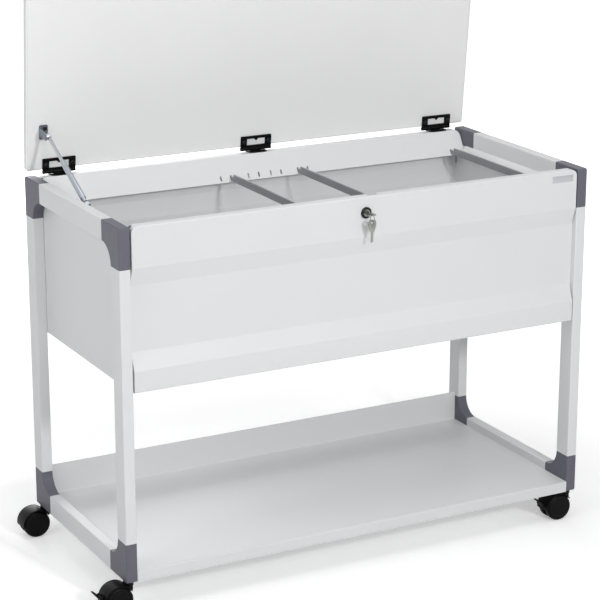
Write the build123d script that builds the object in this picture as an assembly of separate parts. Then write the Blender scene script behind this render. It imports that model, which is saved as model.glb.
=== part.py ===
from build123d import *
import math
import os

# Suspension file trolley: two tubular end frames carry a folded sheet hopper with a hinged lid,
# a lower shelf and four twin-wheel castors. Millimetres, +Z up, the front faces -Y,
# the origin lies on the floor under the middle of the frame. The lid is drawn open.

# End frames
FRAME_WIDTH = 907.0
FRAME_DEPTH = 415.0
FRAME_HEIGHT = 614.0
TUBE_THICK = 20.0
TUBE_DEEP = 36.0
TUBE_WALL = 1.5
TUBE_EDGE = 2.0
TUBE_BORE_EDGE = 0.5
CORNER_ARM = 70.0
CORNER_NOSE = 4.0
SPIGOT_LENGTH = 25.0
SPIGOT_CLEARANCE = 0.2

# Sheet metal
SHEET = 1.2
BEND = 1.5

# Hopper
TOP_ZONE = 70.0
UPPER_SLOPE = 31.0
RECESS_BAND = 112.5
LOWER_SLOPE = 30.5
BOTTOM_ZONE = 37.0
RECESS_DEPTH = 11.0
BOTTOM_RETURN = 18.0
TOP_FLAT = 19.0
FLANGE_RUN = 25.0
FLANGE_DROP = 45.0
PANEL_GAP = 2.5
PANEL_CORNER = 11.0
REAR_PANEL_DROP = 2.0
SIDE_RETURN = 15.0
SIDE_OVERLAP = 5.0
SIDE_FLANGE_RUN = 20.0
SIDE_FLANGE_DROP = 16.0
FLOOR_SIDE_GAP = 0.3

# File rails and the slots that they hook into
BAR_THICK = 3.0
BAR_HIGH = 13.5
BAR_DROP = 29.5
BAR_NECK = 6.0
BAR_SHOULDER_GAP = 1.5
FRONT_TAB = 5.0
UNHOOK_TRAVEL = 7.5
HOOK_GAP = 4.0
HOOK_THICK = 4.0
HOOK_DEEP = 6.0
SLOT_HIGH = 8.0
SLOT_DROP = 37.7
SLOT_CLEARANCE = 0.2
FILE_SPAN = 330.0
FILE_RAIL_INSET = 31.5
SPARE_SLOT_STEPS = (-56.7, -35.3, 20.6)

# Lower shelf
SHELF_LIP = 20.0
SHELF_UPSTAND = 57.0
SHELF_REAR_INSET = 23.5
SHELF_SIDE = 15.0

# Lid
LID_SIDE_GAP = 3.5
LID_THICK = 13.0
LID_OVERHANG = 3.0
LID_CORNER = 4.0
LID_EDGE = 2.5
LID_OPEN_ANGLE = 84.5
BUFFER_RADIUS = 5.0
BUFFER_GAP = 0.3
BUFFER_INSET = 60.0

# Hinges
HINGE_INSET = 61.0
HINGE_AXIS_INSET = 2.0
KNUCKLE_RADIUS = 3.4
PIN_RADIUS = 1.5
PIN_CLEARANCE = 0.05
KNUCKLE_GAP = 0.4
CLIP_PLATE = 1.2
CLIP_LIP = 8.0
CLIP_LIP_THICK = 1.5
CLIP_KNUCKLE_WIDE = 20.0
CLIP_PLATE_WIDE = 38.0
LEAF_WIDE = 62.0
LEAF_LONG = 24.5
LEAF_THICK = 3.0
LEAF_RISE = 1.0
WINDOW_WIDE = 38.0
WINDOW_START = 7.0
WINDOW_LONG = 12.5
WINDOW_NOTCH = 4.0
LID_SETBACK = 3.9

# Gas strut
STRUT_INSET = 13.5
STRUT_REACH = 74.0
STRUT_STANDOFF = 29.0
STRUT_FOOT_Y = 4.5
STRUT_FOOT_DROP = 10.0
STRUT_RADIUS = 5.0
STRUT_WALL = 1.0
STRUT_ROD_RADIUS = 3.0
STRUT_EYE_RADIUS = 5.0
STRUT_EYE_WIDE = 8.0
STRUT_NECK_RADIUS = 3.4
STRUT_CAP = 8.0
STRUT_BASE = 14.0
STRUT_BODY = 114.0
PISTON_THICK = 6.0
BRACKET_SHEET = 2.0
BRACKET_EAR_RADIUS = 6.5
BRACKET_BASE_WIDE = 16.0
BRACKET_GAP = 0.4
STUD_COLLAR_RADIUS = 4.2

# Lock and keys
LOCK_DROP = 27.5
LOCK_BODY_RADIUS = 9.0
LOCK_ROSETTE_RADIUS = 10.0
LOCK_ROSETTE_THICK = 3.0
LOCK_DEPTH = 13.0
PLUG_RADIUS = 6.0
PLUG_STUB_RADIUS = 3.0
LOCK_CLEARANCE = 0.1
NUT_RADIUS = 13.0
NUT_THICK = 4.0
CAM_LENGTH = 17.0
CAM_WIDE = 8.0
CAM_THICK = 2.0
KEEPER_INNER = 10.0
KEEPER_WIDE = 15.0
KEEPER_FOOT = 18.0
KEEPER_CLEARANCE = 1.0
KEEPER_SLOT_FRONT = 5.0
KEEPER_SLOT_REAR = 3.0
KEY_THICK = 2.0
KEY_BLADE_WIDE = 6.0
KEY_BLADE_LONG = 13.5
KEY_NECK = 4.0
KEY_BOW_WIDE = 16.0
KEY_BOW_LONG = 16.0
KEYWAY_CLEARANCE = 0.3
KEY_HOLE_SPARE = 0.25
RING_RADIUS = 6.5
RING_WIRE = 0.75
RING_CLEARANCE = 0.2
RING_EDGE_GAP = 0.1
SPARE_BOW_HIGH = 21.0
SPARE_BOW_TOP = 2.2
SPARE_HOLE_RADIUS = 2.3
SPARE_BLADE_LONG = 18.0
SPARE_BLADE_WIDE = 4.5

# Castors
WHEEL_RADIUS = 25.0
WHEEL_WIDE = 11.5
WHEEL_CROWN = 5.0
WHEEL_EDGE = 1.5
CASTOR_TRAIL = 22.0
HOOD_CORE = 11.0
HOOD_GAP = 0.8
HOOD_WALL = 1.8
HOOD_START = 35.0
HOOD_END = 187.0
HOOD_CORE_RADIUS = 21.0
WHEEL_GAP = 0.5
SWIVEL_GAP = 2.4
SWIVEL_CLEARANCE = 0.3
BOSS_RADIUS = 9.0
STEM_RADIUS = 4.0
STEM_INTO_CORNER = 40.0
STEM_INTO_HOOD = 17.0
STEM_CLEARANCE = 0.05
STEM_SOCKET_SPARE = 2.0
AXLE_RADIUS = 3.0
AXLE_COVER = 4.0
LEVER_ANGLE = 165.0
LEVER_PIVOT_GAP = 0.6
LEVER_BARREL = 2.6
LEVER_PIN = 1.5
LEVER_HALF = 7.5
LEVER_LUG = 2.2
LEVER_GAP = 0.3
LEVER_LONG = 16.0
LEVER_THICK = 2.6
LEVER_RISE = 40.0

# Screws
SCREW_RADIUS = 2.0
SCREW_HEAD_RADIUS = 4.0
SCREW_HEAD = 2.0
SCREW_CLEARANCE = 0.1
LID_SCREW_LONG = 8.0
PANEL_SCREW_REACH = 4.0
PANEL_SCREW_DROPS = (115.0, 245.0)

# Places worked out from the sizes above
FLOOR_GAP = 2 * WHEEL_RADIUS + HOOD_GAP + HOOD_WALL + SWIVEL_GAP
HALF_WIDTH = FRAME_WIDTH / 2
HALF_DEPTH = FRAME_DEPTH / 2
FRAME_BOTTOM = FLOOR_GAP
FRAME_TOP = FRAME_BOTTOM + FRAME_HEIGHT
INNER_X = HALF_WIDTH - TUBE_THICK
POST_X = HALF_WIDTH - TUBE_THICK / 2
POST_Y = HALF_DEPTH - TUBE_DEEP / 2
POST_INNER_Y = HALF_DEPTH - TUBE_DEEP
UPPER_SLOPE_TOP = FRAME_TOP - TOP_ZONE
RECESS_TOP = UPPER_SLOPE_TOP - UPPER_SLOPE
RECESS_BOTTOM = RECESS_TOP - RECESS_BAND
LOWER_SLOPE_BOTTOM = RECESS_BOTTOM - LOWER_SLOPE
HOPPER_BOTTOM = LOWER_SLOPE_BOTTOM - BOTTOM_ZONE
RECESS_Y = HALF_DEPTH - RECESS_DEPTH
SIDE_WEB_X = INNER_X - SHEET
RETURN_X = INNER_X - PANEL_GAP - SHEET
FILE_RAIL_X = INNER_X - FILE_RAIL_INSET
CROSSBAR_X = FILE_RAIL_X - BAR_THICK - FILE_SPAN
LID_WIDTH = FRAME_WIDTH - 2 * LID_SIDE_GAP
HINGE_X = LID_WIDTH / 2 - HINGE_INSET
SHELF_TOP = FRAME_BOTTOM + SHELF_LIP
HINGE_Y = HALF_DEPTH - HINGE_AXIS_INSET
HINGE_Z = FRAME_TOP - REAR_PANEL_DROP + CLIP_PLATE + KNUCKLE_GAP + KNUCKLE_RADIUS
HINGE_AXIS = Axis((0, HINGE_Y, HINGE_Z), (1, 0, 0))
LID_UNDERSIDE = HINGE_Z + LEAF_RISE
LID_REAR = HINGE_Y - LID_SETBACK
LID_FRONT = -HALF_DEPTH - LID_OVERHANG
LOCK_Z = FRAME_TOP - LOCK_DROP
LOCK_REAR = -HALF_DEPTH + LOCK_DEPTH
CAM_Y = LOCK_REAR + CAM_THICK / 2
STRUT_X = -(INNER_X - STRUT_INSET)


def block(x0, x1, y0, y1, z0, z1):
    """A block between two opposite corners."""
    return Pos((x0 + x1) / 2, (y0 + y1) / 2, (z0 + z1) / 2) * Box(x1 - x0, y1 - y0, z1 - z0)


def bar_x(radius, x0, x1, y, z):
    """A round bar along X."""
    return Pos((x0 + x1) / 2, y, z) * Rot(0, 90, 0) * Cylinder(radius, x1 - x0)


def bar_y(radius, y0, y1, x, z):
    """A round bar along Y."""
    return Pos(x, (y0 + y1) / 2, z) * Rot(90, 0, 0) * Cylinder(radius, y1 - y0)


def bar_z(radius, z0, z1, x, y):
    """A round bar along Z."""
    return Pos(x, y, (z0 + z1) / 2) * Cylinder(radius, z1 - z0)


def slab_x(outline, x0, x1):
    """A flat outline of (y, z) points made solid from x0 to x1."""
    return Pos(x0, 0, 0) * extrude(Plane.YZ * make_face(Polyline(*outline, close=True)), x1 - x0)


def save(name, shape):
    """Writes one node."""
    export_step(shape, f"parts/{name}.step")


def sheet_face(points):
    """Section of a folded sheet: the points are its right-hand face, bends are round."""
    steps = [Vector(*b) - Vector(*a) for a, b in zip(points, points[1:])]
    normals = [Vector(-s.Y, s.X).normalized() for s in steps]
    far = [Vector(*points[0]) + normals[0] * SHEET]
    near_radii = []
    far_radii = []
    for i in range(1, len(points) - 1):
        before, after = normals[i - 1], normals[i]
        far.append(Vector(*points[i]) + (before + after) * (SHEET / (1 + before.dot(after))))
        left_turn = steps[i - 1].cross(steps[i]).Z > 0
        near_radii.append(BEND + SHEET if left_turn else BEND)
        far_radii.append(BEND if left_turn else BEND + SHEET)
    far.append(Vector(*points[-1]) + normals[-1] * SHEET)
    near_line = FilletPolyline(*points, radius=near_radii)
    far_line = FilletPolyline(*far, radius=far_radii)
    caps = [Line(points[0], far[0]), Line(points[-1], far[-1])]
    return make_face([*near_line.edges(), *far_line.edges(), *caps])


def flange_y(drop):
    """Distance of the sloping inner flange from the middle of the frame, at a depth below its top."""
    return HALF_DEPTH - TOP_FLAT - FLANGE_RUN * drop / FLANGE_DROP


# Tubes of the end frames
def tube(length):
    """A rectangular tube standing on the origin along Z."""
    outer = RectangleRounded(TUBE_THICK, TUBE_DEEP, TUBE_EDGE)
    bore = RectangleRounded(TUBE_THICK - 2 * TUBE_WALL, TUBE_DEEP - 2 * TUBE_WALL, TUBE_BORE_EDGE)
    return extrude(outer - bore, length)


def panel_screw_places(side):
    """The points on one end frame's inner face where screws hold the side panel to the posts."""
    y = (POST_INNER_Y + RECESS_Y - SHEET) / 2
    return [(side * INNER_X, s * y, FRAME_TOP - drop) for s in (-1, 1) for drop in PANEL_SCREW_DROPS]


def screw_holes(side):
    """Clearance holes for the panel screws of one side."""
    reach = PANEL_SCREW_REACH + SCREW_HEAD
    radius = SCREW_RADIUS + SCREW_CLEARANCE
    return [bar_x(radius, x - reach, x + reach, y, z) for x, y, z in panel_screw_places(side)]


def post(side, depth_sign):
    """A post between its two corners, drilled for the panel screws."""
    length = FRAME_HEIGHT - 2 * CORNER_ARM
    stood = Pos(side * POST_X, depth_sign * POST_Y, FRAME_BOTTOM + CORNER_ARM) * tube(length)
    return stood - screw_holes(side)


def rail(side, z):
    """A rail from the front corner to the rear corner."""
    length = FRAME_DEPTH - 2 * CORNER_ARM
    return Pos(side * POST_X, length / 2, z) * Rot(90, 0, 0) * tube(length)


# Corners
def corner(with_socket):
    """A corner with its outer corner at the origin and its arms along +Y and +Z."""
    hollow = CORNER_ARM - TUBE_DEEP
    middle = CORNER_ARM - hollow * math.sqrt(0.5)
    outline = [
        Line((0, 0), (CORNER_ARM, 0)),
        Line((CORNER_ARM, 0), (CORNER_ARM, TUBE_DEEP)),
        ThreePointArc((CORNER_ARM, TUBE_DEEP), (middle, middle), (TUBE_DEEP, CORNER_ARM)),
        Line((TUBE_DEEP, CORNER_ARM), (0, CORNER_ARM)),
        Line((0, CORNER_ARM), (0, 0)),
    ]
    body = extrude(Plane.YZ * make_face(outline), TUBE_THICK / 2, both=True)
    nose = body.edges().filter_by(Axis.X).sort_by_distance((0, 0, 0))[0]
    body = fillet(nose, CORNER_NOSE)
    arm_end = CORNER_ARM - TUBE_EDGE / 2
    rims = [
        edge
        for face in body.faces().filter_by(Axis.X)
        for edge in face.edges()
        if edge.center().Y < arm_end and edge.center().Z < arm_end
    ]
    body = fillet(rims, TUBE_EDGE)
    slack = TUBE_WALL + SPIGOT_CLEARANCE
    thick = TUBE_THICK / 2 - slack
    tip = CORNER_ARM + SPIGOT_LENGTH
    body += block(-thick, thick, slack, TUBE_DEEP - slack, CORNER_ARM, tip)
    body += block(-thick, thick, CORNER_ARM, tip, slack, TUBE_DEEP - slack)
    if with_socket:
        depth = STEM_INTO_CORNER + STEM_SOCKET_SPARE
        body -= bar_z(STEM_RADIUS + STEM_CLEARANCE, 0, depth, 0, TUBE_DEEP / 2)
    return body


def place_corner(side, depth_sign, at_top):
    """The corner of one side, front or rear, bottom or top."""
    piece = corner(with_socket=not at_top)
    if depth_sign > 0:
        piece = mirror(piece, about=Plane.XZ)
    if at_top:
        piece = mirror(piece, about=Plane.XY)
    return Pos(side * POST_X, depth_sign * HALF_DEPTH, FRAME_TOP if at_top else FRAME_BOTTOM) * piece


# Hopper panels
def hopper_panel(top):
    """The front panel as one folded sheet: inner flange, flat top, recessed face, bottom and end returns."""
    face = sheet_face(
        [
            (-flange_y(FLANGE_DROP), FRAME_TOP - FLANGE_DROP),
            (-flange_y(FRAME_TOP - top), top),
            (-HALF_DEPTH, top),
            (-HALF_DEPTH, UPPER_SLOPE_TOP),
            (-RECESS_Y, RECESS_TOP),
            (-RECESS_Y, RECESS_BOTTOM),
            (-HALF_DEPTH, LOWER_SLOPE_BOTTOM),
            (-HALF_DEPTH, HOPPER_BOTTOM),
            (-HALF_DEPTH + BOTTOM_RETURN, HOPPER_BOTTOM),
        ]
    )
    end = RETURN_X + SHEET
    outline = block(-end, end, -HALF_DEPTH - SHEET, 0, HOPPER_BOTTOM - SHEET, top)
    outline = fillet(outline.edges().filter_by(Axis.Y).group_by(Axis.Z)[-1], PANEL_CORNER)
    body = extrude(Plane.YZ * face, end, both=True) & outline
    room = block(-RETURN_X, RETURN_X, -HALF_DEPTH, 0, HOPPER_BOTTOM, top - SHEET)
    room = fillet(room.edges().filter_by(Axis.Y).group_by(Axis.Z)[-1], PANEL_CORNER - SHEET)
    upper = [(-RECESS_Y, top), (-HALF_DEPTH, top), (-HALF_DEPTH, UPPER_SLOPE_TOP), (-RECESS_Y, RECESS_TOP)]
    lower = [
        (-RECESS_Y, RECESS_BOTTOM),
        (-HALF_DEPTH, LOWER_SLOPE_BOTTOM),
        (-HALF_DEPTH, HOPPER_BOTTOM),
        (-RECESS_Y, HOPPER_BOTTOM),
    ]
    for corners in (upper, lower):
        folded = FilletPolyline(*corners, radius=BEND + SHEET)
        side = make_face([*folded.edges(), Line(corners[-1], corners[0])])
        body += (extrude(Plane.YZ * side, end, both=True) & outline) - room
    half = BAR_THICK / 2 + SLOT_CLEARANCE
    y = -flange_y(SLOT_DROP)
    low = FRAME_TOP - SLOT_DROP - SLOT_HIGH / 2
    for x in (*[CROSSBAR_X + step for step in SPARE_SLOT_STEPS], CROSSBAR_X, FILE_RAIL_X):
        for centre in (-x, x):
            body -= block(centre - half, centre + half, y - SLOT_HIGH, y + SLOT_HIGH, low, low + SLOT_HIGH)
    return body


def front_panel():
    """The front panel with its lock hole and the slot that lets the lid's keeper through."""
    body = hopper_panel(FRAME_TOP)
    hole = LOCK_BODY_RADIUS + LOCK_CLEARANCE
    body -= bar_y(hole, -HALF_DEPTH - SHEET, -HALF_DEPTH + 2 * SHEET, 0, LOCK_Z)
    return body - block(
        KEEPER_INNER - 2 * KEEPER_CLEARANCE,
        KEEPER_INNER + KEEPER_WIDE + 2 * KEEPER_CLEARANCE,
        CAM_Y - KEEPER_SLOT_FRONT,
        CAM_Y + KEEPER_SLOT_REAR,
        FRAME_TOP - 2 * SHEET,
        FRAME_TOP + SHEET,
    )


def side_panel(side):
    """A side panel: flat web on the end frame, sloping top flange, returns behind the end panels."""
    edge = RECESS_Y - SHEET
    top = FRAME_TOP - TUBE_DEEP + SIDE_OVERLAP
    web = block(SIDE_WEB_X, INNER_X, -edge, edge, HOPPER_BOTTOM, top)
    lip = sheet_face(
        [
            (SIDE_WEB_X - SIDE_FLANGE_RUN, top - SIDE_FLANGE_DROP),
            (SIDE_WEB_X, top),
            (INNER_X, top),
        ]
    )
    reach = flange_y(FLANGE_DROP) - BAR_SHOULDER_GAP
    body = web + extrude(Plane.XZ * lip, reach, both=True)
    for s in (-1, 1):
        ys = sorted((s * edge, s * (edge - SHEET)))
        body += block(SIDE_WEB_X - SIDE_RETURN, SIDE_WEB_X, *ys, RECESS_BOTTOM, RECESS_TOP)
    if side < 0:
        body = mirror(body, about=Plane.YZ)
    return body - screw_holes(side)


def hopper_floor():
    """The flat floor sheet on the panels' bottom returns, notched round their end returns."""
    x = SIDE_WEB_X - FLOOR_SIDE_GAP
    y = HALF_DEPTH - SHEET - BEND - FLOOR_SIDE_GAP
    bottom = HOPPER_BOTTOM + SHEET
    notch_x = RETURN_X - FLOOR_SIDE_GAP
    notch_y = RECESS_Y - FLOOR_SIDE_GAP
    long_way = block(-x, x, -notch_y, notch_y, bottom, bottom + SHEET)
    return long_way + block(-notch_x, notch_x, -y, y, bottom, bottom + SHEET)


# File rails
def file_rail(x):
    """A flat strip on edge: a plain tab in the front panel's slot, a hook in the rear panel's."""
    top = FRAME_TOP - BAR_DROP
    bottom = top - BAR_HIGH
    seat = FRAME_TOP - SLOT_DROP - SLOT_HIGH / 2
    neck = seat + BAR_NECK
    shoulder = flange_y(BAR_DROP + BAR_HIGH) - BAR_SHOULDER_GAP
    rear = shoulder - UNHOOK_TRAVEL
    tab = flange_y(SLOT_DROP) + FRONT_TAB
    hook = flange_y(FRAME_TOP - neck) + HOOK_GAP
    outline = [
        (-shoulder, bottom),
        (rear, bottom),
        (rear, seat),
        (hook, seat),
        (hook, seat - HOOK_DEEP),
        (hook + HOOK_THICK, seat - HOOK_DEEP),
        (hook + HOOK_THICK, neck),
        (rear, neck),
        (rear, top),
        (-shoulder, top),
        (-shoulder, neck),
        (-tab, neck),
        (-tab, seat),
        (-shoulder, seat),
    ]
    return slab_x(outline, x - BAR_THICK / 2, x + BAR_THICK / 2)


# Lower shelf
def lower_shelf():
    """A folded tray between the end frames: front lip, rear upstand, side flanges on the rails."""
    rear = HALF_DEPTH - SHELF_REAR_INSET
    face = sheet_face(
        [
            (rear, SHELF_TOP + SHELF_UPSTAND),
            (rear, SHELF_TOP),
            (-HALF_DEPTH, SHELF_TOP),
            (-HALF_DEPTH, FRAME_BOTTOM),
        ]
    )
    body = extrude(Plane.YZ * face, INNER_X, both=True)
    reach = HALF_DEPTH - CORNER_ARM
    for xs in ((-INNER_X, -INNER_X + SHEET), (INNER_X - SHEET, INNER_X)):
        body += block(*xs, -reach, reach, SHELF_TOP - SHELF_SIDE, SHELF_TOP)
    return body


# Lid, drawn closed and then turned open about its hinge axis
def opened(shape):
    """Turns a piece of the closed lid to the open position."""
    return shape.rotate(HINGE_AXIS, -LID_OPEN_ANGLE)


def lid_screw_places():
    """Where screws enter the lid's underside, with the thickness of the plate that each one holds."""
    leaf_leg = (LEAF_WIDE + WINDOW_WIDE) / 4
    leaf_y = HINGE_Y - WINDOW_START - WINDOW_LONG / 2
    places = [(x + s * leaf_leg, leaf_y, LEAF_THICK) for x in (-HINGE_X, 0, HINGE_X) for s in (-1, 1)]
    bracket_x = STRUT_X + BRACKET_BASE_WIDE / 2 - STRUT_EYE_WIDE / 2
    bracket_y = HINGE_Y - STRUT_REACH
    places += [(bracket_x, bracket_y + s * BRACKET_EAR_RADIUS, BRACKET_SHEET) for s in (-1, 1)]
    keeper_x = KEEPER_INNER + KEEPER_WIDE / 2
    places.append((keeper_x, CAM_Y + KEEPER_FOOT / 2 + CAM_THICK, BRACKET_SHEET))
    return places


def lid_screw(x, y, plate):
    """A pan-head screw driven up into the lid through a plate of that thickness."""
    seat = LID_UNDERSIDE - plate
    head = bar_z(SCREW_HEAD_RADIUS, seat - SCREW_HEAD, seat, x, y)
    dome = fillet(head.edges().sort_by(Axis.Z)[0], SCREW_HEAD / 2)
    return dome + bar_z(SCREW_RADIUS, seat, LID_UNDERSIDE + LID_SCREW_LONG, x, y)


def lid_screw_holes():
    """Clearance holes around the lid screws."""
    low = LID_UNDERSIDE - LEAF_THICK
    high = LID_UNDERSIDE + LID_SCREW_LONG + SCREW_CLEARANCE
    return [bar_z(SCREW_RADIUS + SCREW_CLEARANCE, low, high, x, y) for x, y, _ in lid_screw_places()]


def lid_board():
    """The flat lid board with rounded edges."""
    half = LID_WIDTH / 2
    body = block(-half, half, LID_FRONT, LID_REAR, LID_UNDERSIDE, LID_UNDERSIDE + LID_THICK)
    body = fillet(body.edges().filter_by(Axis.Z), LID_CORNER)
    rims = [edge for face in body.faces().filter_by(Axis.Z) for edge in face.edges()]
    return fillet(rims, LID_EDGE) - lid_screw_holes()


def lid_buffer(x):
    """A rubber button that cushions the lid on the front panel's flat top."""
    y = -HALF_DEPTH + TOP_FLAT / 2
    button = bar_z(BUFFER_RADIUS, FRAME_TOP + BUFFER_GAP, LID_UNDERSIDE, x, y)
    return fillet(button.edges().sort_by(Axis.Z)[0], (LID_UNDERSIDE - FRAME_TOP - BUFFER_GAP) / 3)


def hinge_leaf(x):
    """A moulded leaf on the lid: windowed plate with a notch, and two knuckles round the pin."""
    half = LEAF_WIDE / 2
    low = LID_UNDERSIDE - LEAF_THICK
    free = HINGE_Y - LEAF_LONG
    window_rear = HINGE_Y - WINDOW_START
    window_front = window_rear - WINDOW_LONG
    knuckle = CLIP_KNUCKLE_WIDE / 2 + KNUCKLE_GAP
    body = block(-half, half, free, HINGE_Y, low, LID_UNDERSIDE)
    body -= block(-WINDOW_WIDE / 2, WINDOW_WIDE / 2, window_front, window_rear, low, LID_UNDERSIDE)
    tooth = make_face(
        Polyline(
            (-WINDOW_NOTCH, window_front),
            (WINDOW_NOTCH, window_front),
            (0, window_front + WINDOW_NOTCH),
            close=True,
        )
    )
    body += Pos(0, 0, low) * extrude(tooth, LEAF_THICK)
    corners = body.edges().filter_by(Axis.Z).group_by(Axis.Y)[0]
    body = fillet(corners, LEAF_THICK / 2)
    body += bar_x(KNUCKLE_RADIUS, -half, half, HINGE_Y, HINGE_Z)
    room = KNUCKLE_RADIUS + KNUCKLE_GAP
    body -= block(-knuckle, knuckle, HINGE_Y - room, HINGE_Y + room, HINGE_Z - room, HINGE_Z + room)
    body -= bar_x(PIN_RADIUS + PIN_CLEARANCE, -half, half, HINGE_Y, HINGE_Z)
    return Pos(x, 0, 0) * body - lid_screw_holes()


def hinge_clip(x):
    """The fixed half: a clip over the rear panel's top edge with the middle knuckle."""
    top = FRAME_TOP - REAR_PANEL_DROP
    half = CLIP_PLATE_WIDE / 2
    front = flange_y(REAR_PANEL_DROP) + BEND
    outline = Rectangle(CLIP_PLATE_WIDE, HALF_DEPTH + CLIP_LIP_THICK - front)
    outline = fillet(outline.vertices().group_by(Axis.Y)[0], (HALF_DEPTH - front) / 2)
    body = Pos(0, (front + HALF_DEPTH + CLIP_LIP_THICK) / 2, top) * extrude(outline, CLIP_PLATE)
    body += block(-half, half, HALF_DEPTH, HALF_DEPTH + CLIP_LIP_THICK, top - CLIP_LIP, top)
    wide = CLIP_KNUCKLE_WIDE / 2
    body += bar_x(KNUCKLE_RADIUS, -wide, wide, HINGE_Y, HINGE_Z)
    foot = KNUCKLE_RADIUS * math.sqrt(0.5)
    body += block(-wide, wide, HINGE_Y - foot, HINGE_Y + foot, top, HINGE_Z - foot)
    body -= bar_x(PIN_RADIUS + PIN_CLEARANCE, -wide, wide, HINGE_Y, HINGE_Z)
    return Pos(x, 0, 0) * body


def hinge_pin(x):
    """The steel pin through all three knuckles of one hinge."""
    half = LEAF_WIDE / 2
    return bar_x(PIN_RADIUS, x - half, x + half, HINGE_Y, HINGE_Z)


def lid_keeper():
    """An angle under the lid's free edge, with a notched tongue that the cam turns into."""
    end = KEEPER_INNER + KEEPER_WIDE
    seat = LID_UNDERSIDE - BRACKET_SHEET
    low = LOCK_Z - CAM_WIDE - KEEPER_CLEARANCE
    front = CAM_Y - CAM_THICK / 2
    foot = block(KEEPER_INNER, end, front, CAM_Y + KEEPER_FOOT, seat, LID_UNDERSIDE)
    tongue = block(KEEPER_INNER, end, front, front + CAM_THICK, low, LID_UNDERSIDE)
    half = CAM_WIDE / 2 + KEEPER_CLEARANCE
    notch_end = CAM_LENGTH + 2 * KEEPER_CLEARANCE
    notch = block(KEEPER_INNER, notch_end, front, front + CAM_THICK, LOCK_Z - half, LOCK_Z + half)
    return foot + tongue - notch - lid_screw_holes()


# Gas strut, drawn along +Y from its foot and then turned to the open angle
STRUT_FOOT = Vector(STRUT_FOOT_Y, FRAME_TOP - STRUT_FOOT_DROP)
STRUT_PIN_CLOSED = Vector(HINGE_Y - STRUT_REACH, LID_UNDERSIDE - STRUT_STANDOFF)
STRUT_ARM = (STRUT_PIN_CLOSED - Vector(HINGE_Y, HINGE_Z)).rotate(Axis.Z, -LID_OPEN_ANGLE)
STRUT_PIN_OPEN = Vector(HINGE_Y, HINGE_Z) + STRUT_ARM
STRUT_SPAN = STRUT_PIN_OPEN - STRUT_FOOT
STRUT_SPAN_CLOSED = STRUT_PIN_CLOSED - STRUT_FOOT
STRUT_OPEN_LENGTH = STRUT_SPAN.length
STRUT_OPEN_ANGLE = math.degrees(math.atan2(STRUT_SPAN.Y, STRUT_SPAN.X))
STRUT_CLOSED_ANGLE = math.degrees(math.atan2(STRUT_SPAN_CLOSED.Y, STRUT_SPAN_CLOSED.X))
STRUT_STROKE = STRUT_OPEN_LENGTH - STRUT_SPAN_CLOSED.length


def strut_set(shape):
    """Places a strut piece: foot on its stud, axis at the open angle."""
    return Pos(STRUT_X, STRUT_FOOT.X, STRUT_FOOT.Y) * Rot(STRUT_OPEN_ANGLE, 0, 0) * shape


def strut_cylinder():
    """The pressure tube with its foot eye, closed base and rod guide."""
    half = STRUT_EYE_WIDE / 2
    body = bar_x(STRUT_EYE_RADIUS, -half, half, 0, 0)
    body += bar_y(STRUT_NECK_RADIUS, 0, STRUT_BASE + STRUT_WALL, 0, 0)
    tube_body = bar_y(STRUT_RADIUS, STRUT_BASE, STRUT_BODY, 0, 0)
    body += fillet(tube_body.edges(), STRUT_WALL / 2)
    bore = STRUT_RADIUS - STRUT_WALL
    body -= bar_y(bore, STRUT_BASE + 2 * STRUT_WALL, STRUT_BODY - STRUT_CAP, 0, 0)
    body -= bar_y(STRUT_ROD_RADIUS + PIN_CLEARANCE, STRUT_BODY - STRUT_CAP, STRUT_BODY, 0, 0)
    body -= bar_x(STRUT_ROD_RADIUS + PIN_CLEARANCE, -half, half, 0, 0)
    return strut_set(body)


def strut_rod():
    """The piston rod, drawn out, with its flat end eye beside the lid bracket's ear."""
    half = STRUT_EYE_WIDE / 2
    piston_top = STRUT_BODY - STRUT_CAP - PISTON_THICK / 2
    bore = STRUT_RADIUS - STRUT_WALL
    body = bar_y(STRUT_ROD_RADIUS, piston_top - PISTON_THICK, STRUT_OPEN_LENGTH, 0, 0)
    body += bar_y(bore - PIN_CLEARANCE, piston_top - PISTON_THICK, piston_top, 0, 0)
    body += bar_x(STRUT_EYE_RADIUS, -half, half, STRUT_OPEN_LENGTH, 0)
    return strut_set(body)


def strut_lid_bracket():
    """A zinc-plated angle on the lid: base screwed on, ear beside the rod's eye with a rivet head."""
    y, z = STRUT_PIN_CLOSED.X, STRUT_PIN_CLOSED.Y
    inner = STRUT_X - STRUT_EYE_WIDE / 2 - BRACKET_GAP
    outer = inner - BRACKET_SHEET
    half = BRACKET_EAR_RADIUS
    ear = block(outer, inner, y - half, y + half, z, LID_UNDERSIDE) + bar_x(half, outer, inner, y, z)
    base = block(
        outer,
        outer + BRACKET_BASE_WIDE,
        y - 2 * half,
        y + 2 * half,
        LID_UNDERSIDE - BRACKET_SHEET,
        LID_UNDERSIDE,
    )
    base = fillet(base.edges().filter_by(Axis.Z), half / 2)
    rivet = bar_x(half / 2, outer - BRACKET_SHEET / 2, outer, y, z)
    return ear + base + rivet - lid_screw_holes()


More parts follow.
